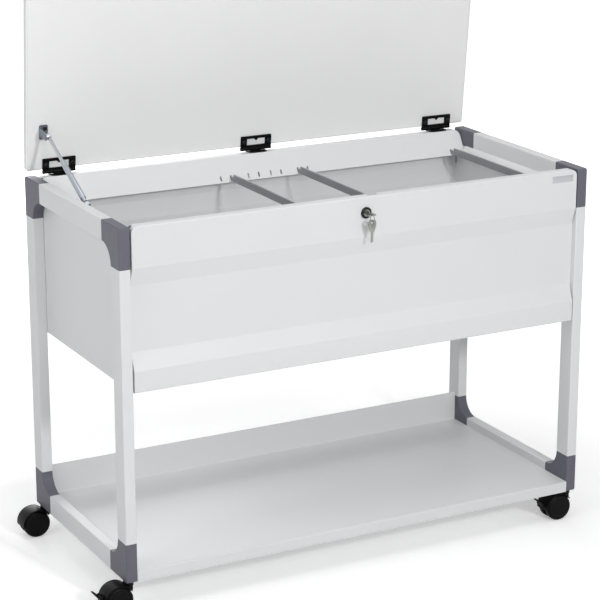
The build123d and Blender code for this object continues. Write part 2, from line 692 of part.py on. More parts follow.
def strut_frame_bracket():
    """A plate on the left top rail with the stud that carries the strut's foot."""
    y, z = STRUT_FOOT.X, STRUT_FOOT.Y
    face = -INNER_X + BRACKET_SHEET
    eye_near = STRUT_X - STRUT_EYE_WIDE / 2
    eye_far = STRUT_X + STRUT_EYE_WIDE / 2
    high = STRUT_FOOT_DROP - TUBE_EDGE
    plate = block(-INNER_X, face, y - 2 * high, y + 2 * high, z - high, z + high)
    plate = fillet(plate.edges().filter_by(Axis.X), high / 2)
    body = plate + bar_x(STRUT_ROD_RADIUS, face, eye_far + BRACKET_SHEET, y, z)
    body += bar_x(STUD_COLLAR_RADIUS, face, eye_near - BRACKET_GAP, y, z)
    return body + bar_x(STUD_COLLAR_RADIUS, eye_far + BRACKET_GAP, eye_far + BRACKET_SHEET, y, z)


# Lock and keys
def lock_housing():
    """The lock barrel with its rosette on the panel."""
    rosette_front = -HALF_DEPTH - LOCK_ROSETTE_THICK
    rosette = bar_y(LOCK_ROSETTE_RADIUS, rosette_front, -HALF_DEPTH, 0, LOCK_Z)
    rosette = fillet(rosette.edges().sort_by(Axis.Y)[0], LOCK_ROSETTE_THICK / 3)
    body = rosette + bar_y(LOCK_BODY_RADIUS, -HALF_DEPTH, LOCK_REAR, 0, LOCK_Z)
    return body - bar_y(PLUG_RADIUS + LOCK_CLEARANCE, rosette_front, LOCK_REAR, 0, LOCK_Z)


def lock_nut():
    """The hexagon nut that clamps the barrel behind the panel."""
    front = -HALF_DEPTH + SHEET
    outline = RegularPolygon(NUT_RADIUS, 6) - Circle(LOCK_BODY_RADIUS + LOCK_CLEARANCE)
    return Pos(0, front, LOCK_Z) * extrude(Plane.XZ * outline, -NUT_THICK)


def lock_plug():
    """The turning plug with its flat keyway, and the stub that carries the cam."""
    front = -HALF_DEPTH - LOCK_ROSETTE_THICK
    plug = bar_y(PLUG_RADIUS, front, LOCK_REAR, 0, LOCK_Z)
    half = KEY_BLADE_WIDE / 2 + KEYWAY_CLEARANCE
    thick = KEY_THICK / 2 + KEYWAY_CLEARANCE
    depth = KEY_BLADE_LONG + KEYWAY_CLEARANCE
    plug -= block(-half, half, front, front + depth, LOCK_Z - thick, LOCK_Z + thick)
    return plug + bar_y(PLUG_STUB_RADIUS, LOCK_REAR, LOCK_REAR + 2 * CAM_THICK, 0, LOCK_Z)


def lock_cam():
    """The cam plate on the plug's stub, hanging down when unlocked."""
    half = CAM_WIDE / 2
    front = LOCK_REAR
    body = block(-half, half, front, front + CAM_THICK, LOCK_Z - CAM_LENGTH, LOCK_Z)
    body += bar_y(half, front, front + CAM_THICK, 0, LOCK_Z)
    return body - bar_y(PLUG_STUB_RADIUS + PIN_CLEARANCE, front, front + CAM_THICK, 0, LOCK_Z)


KEY_FRONT = -HALF_DEPTH - LOCK_ROSETTE_THICK
BOW_REAR = KEY_FRONT - KEY_NECK
BOW_FRONT = BOW_REAR - KEY_BOW_LONG
RING_Z = LOCK_Z + KEY_THICK / 2 + RING_WIRE + RING_CLEARANCE - RING_RADIUS
RING_NEAR = math.sqrt((RING_RADIUS - RING_WIRE) ** 2 - (LOCK_Z + KEY_THICK / 2 - RING_Z) ** 2)
RING_FAR = math.sqrt((RING_RADIUS + RING_WIRE) ** 2 - (LOCK_Z - KEY_THICK / 2 - RING_Z) ** 2)
RING_Y = BOW_FRONT + RING_NEAR - RING_EDGE_GAP


def lock_key():
    """The key in the lock: blade in the keyway, bow level, a hole for the ring near its free edge."""
    half = KEY_BLADE_WIDE / 2
    thick = KEY_THICK / 2
    body = block(-half, half, BOW_REAR, KEY_FRONT + KEY_BLADE_LONG, LOCK_Z - thick, LOCK_Z + thick)
    bow = block(-KEY_BOW_WIDE / 2, KEY_BOW_WIDE / 2, BOW_FRONT, BOW_REAR, LOCK_Z - thick, LOCK_Z + thick)
    body += fillet(bow.edges().filter_by(Axis.Z), KEY_BOW_WIDE / 4)
    hole_y = RING_Y + (RING_NEAR + RING_FAR) / 2
    hole = (RING_FAR - RING_NEAR) / 2 + KEY_HOLE_SPARE
    return body - bar_z(hole, LOCK_Z - thick, LOCK_Z + thick, 0, hole_y)


def key_ring():
    """The wire ring that hangs through the key's bow."""
    return Pos(0, RING_Y, RING_Z) * Rot(0, 90, 0) * Torus(RING_RADIUS, RING_WIRE)


def spare_key():
    """The second key, hanging from the ring with its flat side to the front."""
    half = KEY_BOW_WIDE / 2
    neck = SPARE_BLADE_WIDE / 2
    hole_top = RING_Z - RING_RADIUS + RING_WIRE + RING_CLEARANCE
    hole = hole_top - SPARE_HOLE_RADIUS
    top = hole_top + SPARE_BOW_TOP
    shoulder = top - SPARE_BOW_HIGH
    outline = Polyline(
        (-half * 0.7, top),
        (half * 0.7, top),
        (half, top - half),
        (neck * 1.6, shoulder),
        (neck, shoulder),
        (neck, shoulder - SPARE_BLADE_LONG),
        (-neck, shoulder - SPARE_BLADE_LONG),
        (-neck, shoulder),
        (-neck * 1.6, shoulder),
        (-half, top - half),
        close=True,
    )
    plate = extrude(Plane.XZ * make_face(outline), KEY_THICK / 2, both=True)
    drill = bar_y(SPARE_HOLE_RADIUS, RING_Y - KEY_THICK, RING_Y + KEY_THICK, 0, hole)
    return Pos(0, RING_Y, 0) * plate - drill


# Castors, drawn at the origin trailing towards -X
HOOD_INNER = WHEEL_RADIUS + HOOD_GAP
HOOD_OUTER = HOOD_INNER + HOOD_WALL
WHEEL_INNER_Y = HOOD_CORE / 2 + WHEEL_GAP
WHEEL_OUTER_Y = WHEEL_INNER_Y + WHEEL_WIDE
LEVER_RADIUS = HOOD_OUTER + LEVER_PIVOT_GAP + LEVER_BARREL
LEVER_X = -CASTOR_TRAIL + LEVER_RADIUS * math.cos(math.radians(LEVER_ANGLE))
LEVER_Z = WHEEL_RADIUS + LEVER_RADIUS * math.sin(math.radians(LEVER_ANGLE))


def hood_sector(inner, outer, half_width):
    """A ring sector round the wheel axis, from the hood's front edge to its rear edge."""
    def at(radius, angle):
        turn = math.radians(angle)
        return (-CASTOR_TRAIL + radius * math.cos(turn), WHEEL_RADIUS + radius * math.sin(turn))

    middle = (HOOD_START + HOOD_END) / 2
    outline = [
        ThreePointArc(at(outer, HOOD_START), at(outer, middle), at(outer, HOOD_END)),
        Line(at(outer, HOOD_END), at(inner, HOOD_END)),
        ThreePointArc(at(inner, HOOD_END), at(inner, middle), at(inner, HOOD_START)),
        Line(at(inner, HOOD_START), at(outer, HOOD_START)),
    ]
    return extrude(Plane.XZ * make_face(outline), half_width, both=True)


def castor_hood(with_brake):
    """The swivelling body: core between the wheels, hood over them, boss round the stem, brake lugs."""
    core = HOOD_CORE / 2
    body = hood_sector(HOOD_INNER, HOOD_OUTER, WHEEL_OUTER_Y)
    body += hood_sector(HOOD_CORE_RADIUS - HOOD_WALL, HOOD_OUTER, core)
    body += bar_y(HOOD_CORE_RADIUS, -core, core, -CASTOR_TRAIL, WHEEL_RADIUS)
    boss_top = FLOOR_GAP - SWIVEL_GAP - SWIVEL_CLEARANCE
    chord = math.sqrt(BOSS_RADIUS**2 - WHEEL_INNER_Y**2)
    wheel_clear = WHEEL_RADIUS + math.sqrt(WHEEL_RADIUS**2 - (CASTOR_TRAIL - chord) ** 2) + WHEEL_GAP
    body += bar_z(BOSS_RADIUS, wheel_clear, boss_top, 0, 0)
    stem_low = FLOOR_GAP - STEM_INTO_HOOD
    core_low = stem_low - HOOD_WALL
    nose = math.sqrt(BOSS_RADIUS**2 - core**2)
    body += block(-CASTOR_TRAIL, nose, -core, core, core_low, boss_top - HOOD_WALL)
    if with_brake:
        for s in (-1, 1):
            ys = sorted((s * (LEVER_HALF + LEVER_GAP), s * (LEVER_HALF + LEVER_GAP + LEVER_LUG)))
            body += bar_y(LEVER_BARREL + LEVER_PIVOT_GAP + HOOD_WALL / 2, *ys, LEVER_X, LEVER_Z)
        lug_start = LEVER_HALF + LEVER_GAP
        lug_end = lug_start + LEVER_LUG
        body -= bar_y(LEVER_PIN + PIN_CLEARANCE, -lug_end, lug_end, LEVER_X, LEVER_Z)
        body -= bar_y(LEVER_BARREL + LEVER_PIVOT_GAP / 2, -lug_start, lug_start, LEVER_X, LEVER_Z)
        body -= bar_y(HOOD_INNER, -WHEEL_OUTER_Y, -core, -CASTOR_TRAIL, WHEEL_RADIUS)
        body -= bar_y(HOOD_INNER, core, WHEEL_OUTER_Y, -CASTOR_TRAIL, WHEEL_RADIUS)
    body -= bar_z(STEM_RADIUS + STEM_CLEARANCE, stem_low, FLOOR_GAP, 0, 0)
    hole = AXLE_RADIUS + PIN_CLEARANCE
    return body - bar_y(hole, -core, core, -CASTOR_TRAIL, WHEEL_RADIUS)


def castor_wheel(side):
    """One of the two wheels: tread with a rounded outer rim, closed outer face, blind axle hole."""
    body = bar_y(WHEEL_RADIUS, WHEEL_INNER_Y, WHEEL_OUTER_Y, 0, 0)
    body = fillet(body.edges().filter_by(GeomType.CIRCLE).sort_by(Axis.Y)[-1], WHEEL_CROWN)
    body = fillet(body.edges().filter_by(GeomType.CIRCLE).sort_by(Axis.Y)[0], WHEEL_EDGE)
    body -= bar_y(AXLE_RADIUS + PIN_CLEARANCE, WHEEL_INNER_Y, WHEEL_OUTER_Y - AXLE_COVER + WHEEL_GAP, 0, 0)
    if side < 0:
        body = mirror(body, about=Plane.XZ)
    return Pos(-CASTOR_TRAIL, 0, WHEEL_RADIUS) * body


def castor_axle():
    """The steel axle through the core into both wheels."""
    half = WHEEL_OUTER_Y - AXLE_COVER
    return bar_y(AXLE_RADIUS, -half, half, -CASTOR_TRAIL, WHEEL_RADIUS)


def castor_stem():
    """The steel stem in the corner's socket, with the collar that the corner stands on."""
    body = bar_z(STEM_RADIUS, FLOOR_GAP - STEM_INTO_HOOD + WHEEL_GAP, FLOOR_GAP + STEM_INTO_CORNER, 0, 0)
    return body + bar_z(BOSS_RADIUS, FLOOR_GAP - SWIVEL_GAP, FLOOR_GAP, 0, 0)


def brake_lever():
    """The brake pedal, drawn released: barrel with its pin between the lugs, and a broad plate to step on."""
    reach = LEVER_HALF + LEVER_GAP + LEVER_LUG
    body = bar_y(LEVER_BARREL, -LEVER_HALF, LEVER_HALF, 0, 0) + bar_y(LEVER_PIN, -reach, reach, 0, 0)
    clear = LEVER_BARREL + LEVER_PIVOT_GAP + HOOD_WALL
    arm = block(-LEVER_LONG, 0, -LEVER_HALF, LEVER_HALF, -LEVER_THICK / 2, LEVER_THICK / 2)
    pedal = block(-LEVER_LONG, -clear, -reach, reach, -LEVER_THICK / 2, LEVER_THICK / 2)
    pedal = fillet(pedal.edges().filter_by(Axis.Y), LEVER_THICK / 3)
    return Pos(LEVER_X, 0, LEVER_Z) * Rot(0, LEVER_RISE, 0) * (body + arm + pedal)


def panel_screw(side, x, y, z):
    """A pan-head screw from inside the hopper through the side panel into the post."""
    head_face = x - side * SHEET
    head = bar_x(SCREW_HEAD_RADIUS, *sorted((head_face, head_face - side * SCREW_HEAD)), y, z)
    inner_rim = head.edges().sort_by(Axis.X)
    dome = fillet(inner_rim[0] if side > 0 else inner_rim[-1], SCREW_HEAD / 2)
    return dome + bar_x(SCREW_RADIUS, *sorted((head_face, x + side * PANEL_SCREW_REACH)), y, z)


os.makedirs("parts", exist_ok=True)

SIDES = {"left": -1, "right": 1}
ENDS = {"front": -1, "rear": 1}

for side_name, side in SIDES.items():
    for end_name, end in ENDS.items():
        save(f"{side_name}_{end_name}_post", post(side, end))
        save(f"{side_name}_{end_name}_top_corner", place_corner(side, end, True))
        save(f"{side_name}_{end_name}_bottom_corner", place_corner(side, end, False))
    save(f"{side_name}_top_rail", rail(side, FRAME_TOP - TUBE_DEEP / 2))
    save(f"{side_name}_bottom_rail", rail(side, FRAME_BOTTOM + TUBE_DEEP / 2))
    save(f"{side_name}_side_panel", side_panel(side))
    save(f"{side_name}_file_rail", file_rail(side * FILE_RAIL_X))
    save(f"{side_name}_crossbar", file_rail(side * CROSSBAR_X))

save("front_panel", front_panel())
save("rear_panel", mirror(hopper_panel(FRAME_TOP - REAR_PANEL_DROP), about=Plane.XZ))
save("hopper_floor", hopper_floor())
save("lower_shelf", lower_shelf())
save("panel_screws", Compound([panel_screw(s, *p) for s in SIDES.values() for p in panel_screw_places(s)]))

HINGES = (-HINGE_X, 0, HINGE_X)
save("lid_board", opened(lid_board()))
save("lid_buffers", opened(Compound([lid_buffer(s * (LID_WIDTH / 2 - BUFFER_INSET)) for s in (-1, 1)])))
save("lid_keeper", opened(lid_keeper()))
save("lid_screws", opened(Compound([lid_screw(*place) for place in lid_screw_places()])))
save("hinge_leaves", opened(Compound([hinge_leaf(x) for x in HINGES])))
save("hinge_clips", Compound([hinge_clip(x) for x in HINGES]))
save("hinge_pins", Compound([hinge_pin(x) for x in HINGES]))

save("strut_cylinder", strut_cylinder())
save("strut_rod", strut_rod())
save("strut_lid_bracket", opened(strut_lid_bracket()))
save("strut_frame_bracket", strut_frame_bracket())

save("lock_housing", lock_housing())
save("lock_nut", lock_nut())
save("lock_plug", lock_plug())
save("lock_cam", lock_cam())
save("lock_key", lock_key())
save("key_ring", key_ring())
save("spare_key", spare_key())

stems = []
for end_name, end in ENDS.items():
    for side_name, side in SIDES.items():
        name = f"{end_name}_{side_name}_castor"
        place = Pos(side * POST_X, end * POST_Y, 0)
        braked = end_name == "front"
        save(f"{name}_hood", place * castor_hood(braked))
        save(f"{name}_wheels", place * Compound([castor_wheel(s) for s in (-1, 1)]))
        save(f"{name}_axle", place * castor_axle())
        stems.append(place * castor_stem())
        if braked:
            save(f"{name}_brake_lever", place * brake_lever())
save("castor_stems", Compound(stems))
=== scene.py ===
import math

import bmesh
import bpy
from mathutils import Matrix, Vector


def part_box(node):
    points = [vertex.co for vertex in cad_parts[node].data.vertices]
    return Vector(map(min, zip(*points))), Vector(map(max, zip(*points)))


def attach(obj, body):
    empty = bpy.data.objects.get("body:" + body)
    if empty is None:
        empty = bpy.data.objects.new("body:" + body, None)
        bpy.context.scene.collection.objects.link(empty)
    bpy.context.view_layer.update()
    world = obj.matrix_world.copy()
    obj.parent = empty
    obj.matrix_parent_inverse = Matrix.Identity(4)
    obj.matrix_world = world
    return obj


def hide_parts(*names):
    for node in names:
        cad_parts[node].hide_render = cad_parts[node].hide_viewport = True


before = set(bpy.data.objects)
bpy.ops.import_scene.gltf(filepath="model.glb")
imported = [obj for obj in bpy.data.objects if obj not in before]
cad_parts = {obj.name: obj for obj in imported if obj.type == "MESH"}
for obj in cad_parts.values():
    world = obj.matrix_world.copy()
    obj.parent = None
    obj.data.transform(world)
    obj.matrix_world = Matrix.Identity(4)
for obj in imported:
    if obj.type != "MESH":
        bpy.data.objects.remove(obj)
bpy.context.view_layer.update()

# End frames: four posts and four rails of rectangular steel tube with rounded edges,
# cut square, pushed onto the spigots of the corner mouldings and powder coated.
COAT_COLOUR = "E2E3E4"
COAT_SHADE = "DEDFE0"
COAT_DRIFT = 260.0
ORANGE_PEEL = 4.0


def linear(hex_colour):
    """An sRGB hex colour as linear RGBA."""
    parts = [int(hex_colour[i:i + 2], 16) / 255 for i in (0, 2, 4)]
    return (*[p / 12.92 if p <= 0.04045 else ((p + 0.055) / 1.055) ** 2.4 for p in parts], 1.0)


def add_node(tree, kind, inputs=None, **settings):
    """Adds a shader node with its settings, and sets or links its inputs."""
    node = tree.nodes.new("ShaderNode" + kind)
    for name, value in settings.items():
        setattr(node, name, value)
    for name, value in (inputs or {}).items():
        if isinstance(value, bpy.types.NodeSocket):
            tree.links.new(value, node.inputs[name])
        else:
            node.inputs[name].default_value = value
    return node


def new_finish(name, colour, roughness, metallic=0.0):
    """A finish of one colour and gloss, with its node tree and shader for the patterns to come."""
    finish = bpy.data.materials.new(name)
    finish.use_nodes = True
    shader = finish.node_tree.nodes["Principled BSDF"]
    shader.inputs["Base Color"].default_value = linear(colour)
    shader.inputs["Roughness"].default_value = roughness
    shader.inputs["Metallic"].default_value = metallic
    return finish, finish.node_tree, shader


def per_metre(size):
    """The scale of a pattern whose features are that many millimetres across."""
    return 1000.0 / size


def dress(finish, *names):
    """Gives CAD nodes a finish."""
    for name in names:
        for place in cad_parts[name].material_slots:
            place.material = finish


# Polyester powder coat, sprayed and baked: an even satin grey with slow drifts of tone, and an orange
# peel in its gloss, 1.5 mm across on the real coat and drawn coarser here so that it shows.
powder_coat, tree, shader = new_finish("powder_coat_light_grey", COAT_COLOUR, 0.45)
place = add_node(tree, "TexCoord").outputs["Object"]
drift = add_node(tree, "TexNoise", {"Vector": place, "Scale": per_metre(COAT_DRIFT), "Detail": 2.0})
tone = add_node(
    tree,
    "Mix",
    {0: drift.outputs["Fac"], 6: linear(COAT_COLOUR), 7: linear(COAT_SHADE)},
    data_type="RGBA",
)
tree.links.new(tone.outputs[2], shader.inputs["Base Color"])
peel = add_node(tree, "TexNoise", {"Vector": place, "Scale": per_metre(ORANGE_PEEL), "Detail": 2.0})
gloss = add_node(tree, "MapRange", {"Value": peel.outputs["Fac"], "To Min": 0.38, "To Max": 0.52})
tree.links.new(gloss.outputs["Result"], shader.inputs["Roughness"])
dents = add_node(tree, "Bump", {"Height": peel.outputs["Fac"], "Strength": 0.1, "Distance": 0.0006})
tree.links.new(dents.outputs["Normal"], shader.inputs["Normal"])
for side in ("left", "right"):
    dress(powder_coat, f"{side}_front_post", f"{side}_rear_post", f"{side}_top_rail", f"{side}_bottom_rail")

# Corner mouldings: eight quarter-round elbows that join post and rail, moulded in mid-grey plastic,
# with spigots driven into the tubes and, in the lower four, a socket for the castor's stem.
CORNER_COLOUR = "6F6E79"
CORNER_SHADE = "686772"
MOULD_GRAIN = 1.8
MOULD_FLOW = 45.0

# Polyamide, injection moulded in an etched tool: matt, with a fine pebbled grain, 0.4 mm on the real
# piece and drawn coarser so that it shows, and slow flow marks in its tone.
corner_plastic, tree, shader = new_finish("moulded_polyamide_mid_grey", CORNER_COLOUR, 0.5)
shader.inputs["Specular IOR Level"].default_value = 0.12
place = add_node(tree, "TexCoord").outputs["Object"]
flow = add_node(tree, "TexNoise", {"Vector": place, "Scale": per_metre(MOULD_FLOW), "Detail": 3.0})
tone = add_node(
    tree,
    "Mix",
    {0: flow.outputs["Fac"], 6: linear(CORNER_COLOUR), 7: linear(CORNER_SHADE)},
    data_type="RGBA",
)
tree.links.new(tone.outputs[2], shader.inputs["Base Color"])
grain = add_node(tree, "TexVoronoi", {"Vector": place, "Scale": per_metre(MOULD_GRAIN)})
gloss = add_node(tree, "MapRange", {"Value": grain.outputs["Distance"], "To Min": 0.32, "To Max": 0.5})
tree.links.new(gloss.outputs["Result"], shader.inputs["Roughness"])
pebbles = add_node(tree, "Bump", {"Height": grain.outputs["Distance"], "Strength": 0.18, "Distance": 0.0003})
tree.links.new(pebbles.outputs["Normal"], shader.inputs["Normal"])
for side in ("left", "right"):
    for end in ("front", "rear"):
        dress(corner_plastic, f"{side}_{end}_top_corner", f"{side}_{end}_bottom_corner")

# Hopper: front, rear and two side panels of folded 1.2 mm sheet steel with a floor laid in them,
# all powder coated with the frame, and a blank self-adhesive plate on the front panel.
PANEL_FRONT = -207.5
PLATE_MIDDLE = (401.0, PANEL_FRONT, 655.0)
PLATE_SIZE = (44.0, 12.0, 0.4)
PLATE_CORNER = 1.2
PLATE_COLOUR = "B4B6BA"
BRUSH_LINE = 0.9


def draw_line(shape, points, closed):
    """Draws a line through (x, y, corner radius) points, its corners rounded."""
    verts = [shape.verts.new((x, y, 0.0)) for x, y, _ in points]
    for pair in zip(verts, verts[1:] + verts[:1] if closed else verts[1:]):
        shape.edges.new(pair)
    for vert, (_, _, radius) in zip(verts, points):
        if radius:
            bmesh.ops.bevel(
                shape,
                geom=[vert],
                offset=radius,
                offset_type="OFFSET",
                affect="VERTICES",
                segments=5,
                profile=0.5,
                material=-1,
            )


def cut_plate(outline, thick, windows=(), holes=()):
    """A flat plate in millimetres, its underside at z 0, with windows of points and (x, y, radius) holes."""
    shape = bmesh.new()
    draw_line(shape, outline, True)
    for window in windows:
        draw_line(shape, window, True)
    for x, y, radius in holes:
        ring = bmesh.ops.create_circle(shape, cap_ends=False, segments=32, radius=radius)
        bmesh.ops.translate(shape, vec=(x, y, 0.0), verts=ring["verts"])
    bmesh.ops.triangle_fill(shape, use_beauty=True, edges=shape.edges[:], normal=(0.0, 0.0, 1.0))
    raised = bmesh.ops.extrude_face_region(shape, geom=shape.faces[:], use_keep_orig=True)["geom"]
    top = [item for item in raised if isinstance(item, bmesh.types.BMVert)]
    bmesh.ops.translate(shape, vec=(0.0, 0.0, thick), verts=top)
    bmesh.ops.recalc_face_normals(shape, faces=shape.faces[:])
    return shape


def soften(shape, width):
    """Rounds the sharp edges of a shape."""
    sharp = [edge for edge in shape.edges if edge.calc_face_angle(0.0) > math.radians(40)]
    bmesh.ops.bevel(
        shape,
        geom=sharp,
        offset=width,
        affect="EDGES",
        segments=2,
        profile=0.5,
        material=-1,
        clamp_overlap=True,
    )
    return shape


def join(whole, shape, where):
    """Moves a finished shape to its place and adds it to a piece."""
    bmesh.ops.transform(shape, matrix=where, verts=shape.verts[:])
    mesh = bpy.data.meshes.new("shape")
    shape.to_mesh(mesh)
    whole.from_mesh(mesh)
    bpy.data.meshes.remove(mesh)
    shape.free()


def make_piece(name, whole, finish, body, slot, *stands_for):
    """Turns millimetres to metres and hands the piece over with its finish and body; the slot is not used."""
    bmesh.ops.scale(whole, vec=(0.001, 0.001, 0.001), verts=whole.verts[:])
    bmesh.ops.recalc_face_normals(whole, faces=whole.faces[:])
    mesh = bpy.data.meshes.new(name)
    whole.to_mesh(mesh)
    whole.free()
    mesh.shade_smooth()
    mesh.set_sharp_from_angle(angle=math.radians(35))
    mesh.materials.append(finish)
    piece = bpy.data.objects.new(name, mesh)
    bpy.context.scene.collection.objects.link(piece)
    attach(piece, body)
    if stands_for:
        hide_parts(*stands_for)


dress(powder_coat, "front_panel", "rear_panel", "left_side_panel", "right_side_panel", "hopper_floor")

# Aluminium foil on adhesive, brushed along its length: a soft grey metal with fine streaks of gloss,
# 0.2 mm apart on the real plate and drawn coarser so that they show.
label_foil, tree, shader = new_finish("brushed_aluminium_foil", PLATE_COLOUR, 0.4, 0.6)
place = add_node(tree, "TexCoord").outputs["Object"]
along = add_node(tree, "Mapping", {"Vector": place, "Scale": (0.03, 1.0, 1.0)})
streaks = add_node(
    tree, "TexNoise", {"Vector": along.outputs["Vector"], "Scale": per_metre(BRUSH_LINE), "Detail": 2.0}
)
gloss = add_node(tree, "MapRange", {"Value": streaks.outputs["Fac"], "To Min": 0.3, "To Max": 0.55})
tree.links.new(gloss.outputs["Result"], shader.inputs["Roughness"])
scratches = add_node(tree, "Bump", {"Height": streaks.outputs["Fac"], "Strength": 0.08, "Distance": 0.0002})
tree.links.new(scratches.outputs["Normal"], shader.inputs["Normal"])
half_wide, half_high, thick = PLATE_SIZE[0] / 2, PLATE_SIZE[1] / 2, PLATE_SIZE[2]
outline = [
    (x * half_wide, y * half_high, PLATE_CORNER) for x, y in ((-1, -1), (1, -1), (1, 1), (-1, 1))
]
plate = bmesh.new()
join(
    plate,
    soften(cut_plate(outline, thick), 0.12),
    Matrix.Translation(PLATE_MIDDLE) @ Matrix.Rotation(math.radians(90), 4, "X"),
)
make_piece("blank_plate", plate, label_foil, "frame", "zinc_steel")

# Panel screws: eight zinc-plated pan-head screws with a cross recess, driven from inside the hopper
# through the side panels' flanges into the posts.
PANEL_SCREW_X = 432.3
PANEL_SCREW_Y = 183.4
PANEL_SCREW_HEIGHTS = (554.0, 424.0)
PANEL_SCREW_SHANK = 5.2
ZINC_COLOUR = "9298A0"
ZINC_SHADE = "7A8089"
ZINC_CLOUD = 7.0


def pan_screw(shank):
    """A pan-head screw standing on its seat, head up: cross recess, domed rim and plain shank."""
    shape = bmesh.new()
    arm, reach, flat, high = 0.5, 1.9, 2.7, 2.0
    quarter = [(reach, -arm), (reach, arm), (arm, arm)]
    cross = []
    for turn in range(4):
        spin = Matrix.Rotation(turn * math.pi / 2, 2)
        cross += [(*(spin @ Vector(point)), 0.0) for point in quarter]
    draw_line(shape, cross, True)
    recess = shape.edges[:]
    bmesh.ops.create_circle(shape, cap_ends=False, segments=24, radius=flat)
    rim = [edge for edge in shape.edges if edge not in recess]
    bmesh.ops.triangle_fill(shape, use_beauty=True, edges=shape.edges[:], normal=(0.0, 0.0, 1.0))
    bmesh.ops.translate(shape, vec=(0.0, 0.0, high), verts=shape.verts[:])

    def pull(edges, grow, down):
        """Draws a loop of edges out, wider by a factor and lower by a length."""
        new = bmesh.ops.extrude_edge_only(shape, edges=edges)["geom"]
        moved = {item for item in new if isinstance(item, bmesh.types.BMVert)}
        bmesh.ops.scale(shape, vec=(grow, grow, 1.0), verts=list(moved))
        bmesh.ops.translate(shape, vec=(0.0, 0.0, -down), verts=list(moved))
        return [item for item in new if isinstance(item, bmesh.types.BMEdge) and set(item.verts) <= moved]

    # The dome in three steps, the head's side, its seat and the shank.
    for grow, down in ((1.26, 0.22), (1.12, 0.45), (1.05, 0.5), (1.0, 0.83), (0.5, 0.0), (1.0, shank)):
        rim = pull(rim, grow, down)
    bmesh.ops.edgeloop_fill(shape, edges=rim)
    bmesh.ops.edgeloop_fill(shape, edges=pull(recess, 0.72, 1.2))
    return shape


# Bright zinc plating on steel: a bluish silver, clouded where the bath left it thicker.
zinc_plate, tree, shader = new_finish("bright_zinc_plating", ZINC_COLOUR, 0.3, 1.0)
place = add_node(tree, "TexCoord").outputs["Object"]
clouds = add_node(tree, "TexNoise", {"Vector": place, "Scale": per_metre(ZINC_CLOUD), "Detail": 3.0})
tone = add_node(
    tree,
    "Mix",
    {0: clouds.outputs["Fac"], 6: linear(ZINC_COLOUR), 7: linear(ZINC_SHADE)},
    data_type="RGBA",
)
tree.links.new(tone.outputs[2], shader.inputs["Base Color"])
gloss = add_node(tree, "MapRange", {"Value": clouds.outputs["Fac"], "To Min": 0.22, "To Max": 0.42})
tree.links.new(gloss.outputs["Result"], shader.inputs["Roughness"])
screws = bmesh.new()
for side in (-1, 1):
    for end in (-1, 1):
        for height in PANEL_SCREW_HEIGHTS:
            seat = Matrix.Translation((side * PANEL_SCREW_X, end * PANEL_SCREW_Y, height))
            join(screws, pan_screw(PANEL_SCREW_SHANK), seat @ Matrix.Rotation(-side * math.pi / 2, 4, "Y"))
make_piece("panel_screw_set", screws, zinc_plate, "frame", "zinc_steel", "panel_screws")

# File rails and crossbars: flat steel bars on edge that the hanging files hook over, painted dark
# grey. Two are fixed at the ends of the hopper, and two lift out and drop into the flanges' slots.
RAIL_COLOUR = "87888C"
RAIL_SHADE = "7C7D82"
RAIL_RUBBED = "A6A7AB"
RUB_PATCH = 30.0
RUB_DEPTH = 0.0016
rail_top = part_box("left_crossbar")[1][2]

# Stoved paint on cold-rolled bar: satin dark grey, rubbed paler along the top edge where hooks slide.
rail_paint, tree, shader = new_finish("stoved_paint_dark_grey", RAIL_COLOUR, 0.42)
place = add_node(tree, "TexCoord").outputs["Object"]
patches = add_node(tree, "TexNoise", {"Vector": place, "Scale": per_metre(RUB_PATCH), "Detail": 4.0})
tone = add_node(
    tree,
    "Mix",
    {0: patches.outputs["Fac"], 6: linear(RAIL_COLOUR), 7: linear(RAIL_SHADE)},
    data_type="RGBA",
)
height = add_node(tree, "SeparateXYZ", {"Vector": place}).outputs["Z"]
edge = add_node(
    tree, "MapRange", {"Value": height, "From Min": rail_top - RUB_DEPTH, "From Max": rail_top, "To Max": 1.4}
)
rubbed = add_node(
    tree, "Math", {0: edge.outputs["Result"], 1: patches.outputs["Fac"]}, operation="MULTIPLY", use_clamp=True
)
worn = add_node(
    tree,
    "Mix",
    {0: rubbed.outputs["Value"], 6: tone.outputs[2], 7: linear(RAIL_RUBBED)},
    data_type="RGBA",
)
tree.links.new(worn.outputs[2], shader.inputs["Base Color"])
gloss = add_node(tree, "MapRange", {"Value": rubbed.outputs["Value"], "To Min": 0.42, "To Max": 0.28})
tree.links.new(gloss.outputs["Result"], shader.inputs["Roughness"])
dress(rail_paint, "left_file_rail", "right_file_rail", "left_crossbar", "right_crossbar")

# Lower shelf: one folded steel tray between the end frames, with a front lip, short side lips and a
# taller stop at the back, powder coated with the frame.
dress(powder_coat, "lower_shelf")

# Lid: a 13 mm particle board with light grey laminate on both faces and its rounded edges banded in
# the same grey, hinged on the rear panel and drawn open.
LID_COLOUR = "F5F5F5"
LID_SHADE = "F0F0F0"
LID_SEAM = "C2C2C3"
LID_FLECK = 2.2
LID_CLOUD = 180.0
LID_HALF = 0.450
LID_FRONT = -0.2105
LID_REAR = 0.2016
BAND = 0.0022
SEAM_HALF = 0.0002
HINGE_AXIS = Vector((0.0, 205.5, 672.0))
LID_OPEN = math.radians(84.5)
shut = Matrix.Rotation(LID_OPEN, 4, "X")
opened = Matrix.Translation(HINGE_AXIS) @ Matrix.Rotation(-LID_OPEN, 4, "X") @ Matrix.Translation(-HINGE_AXIS)

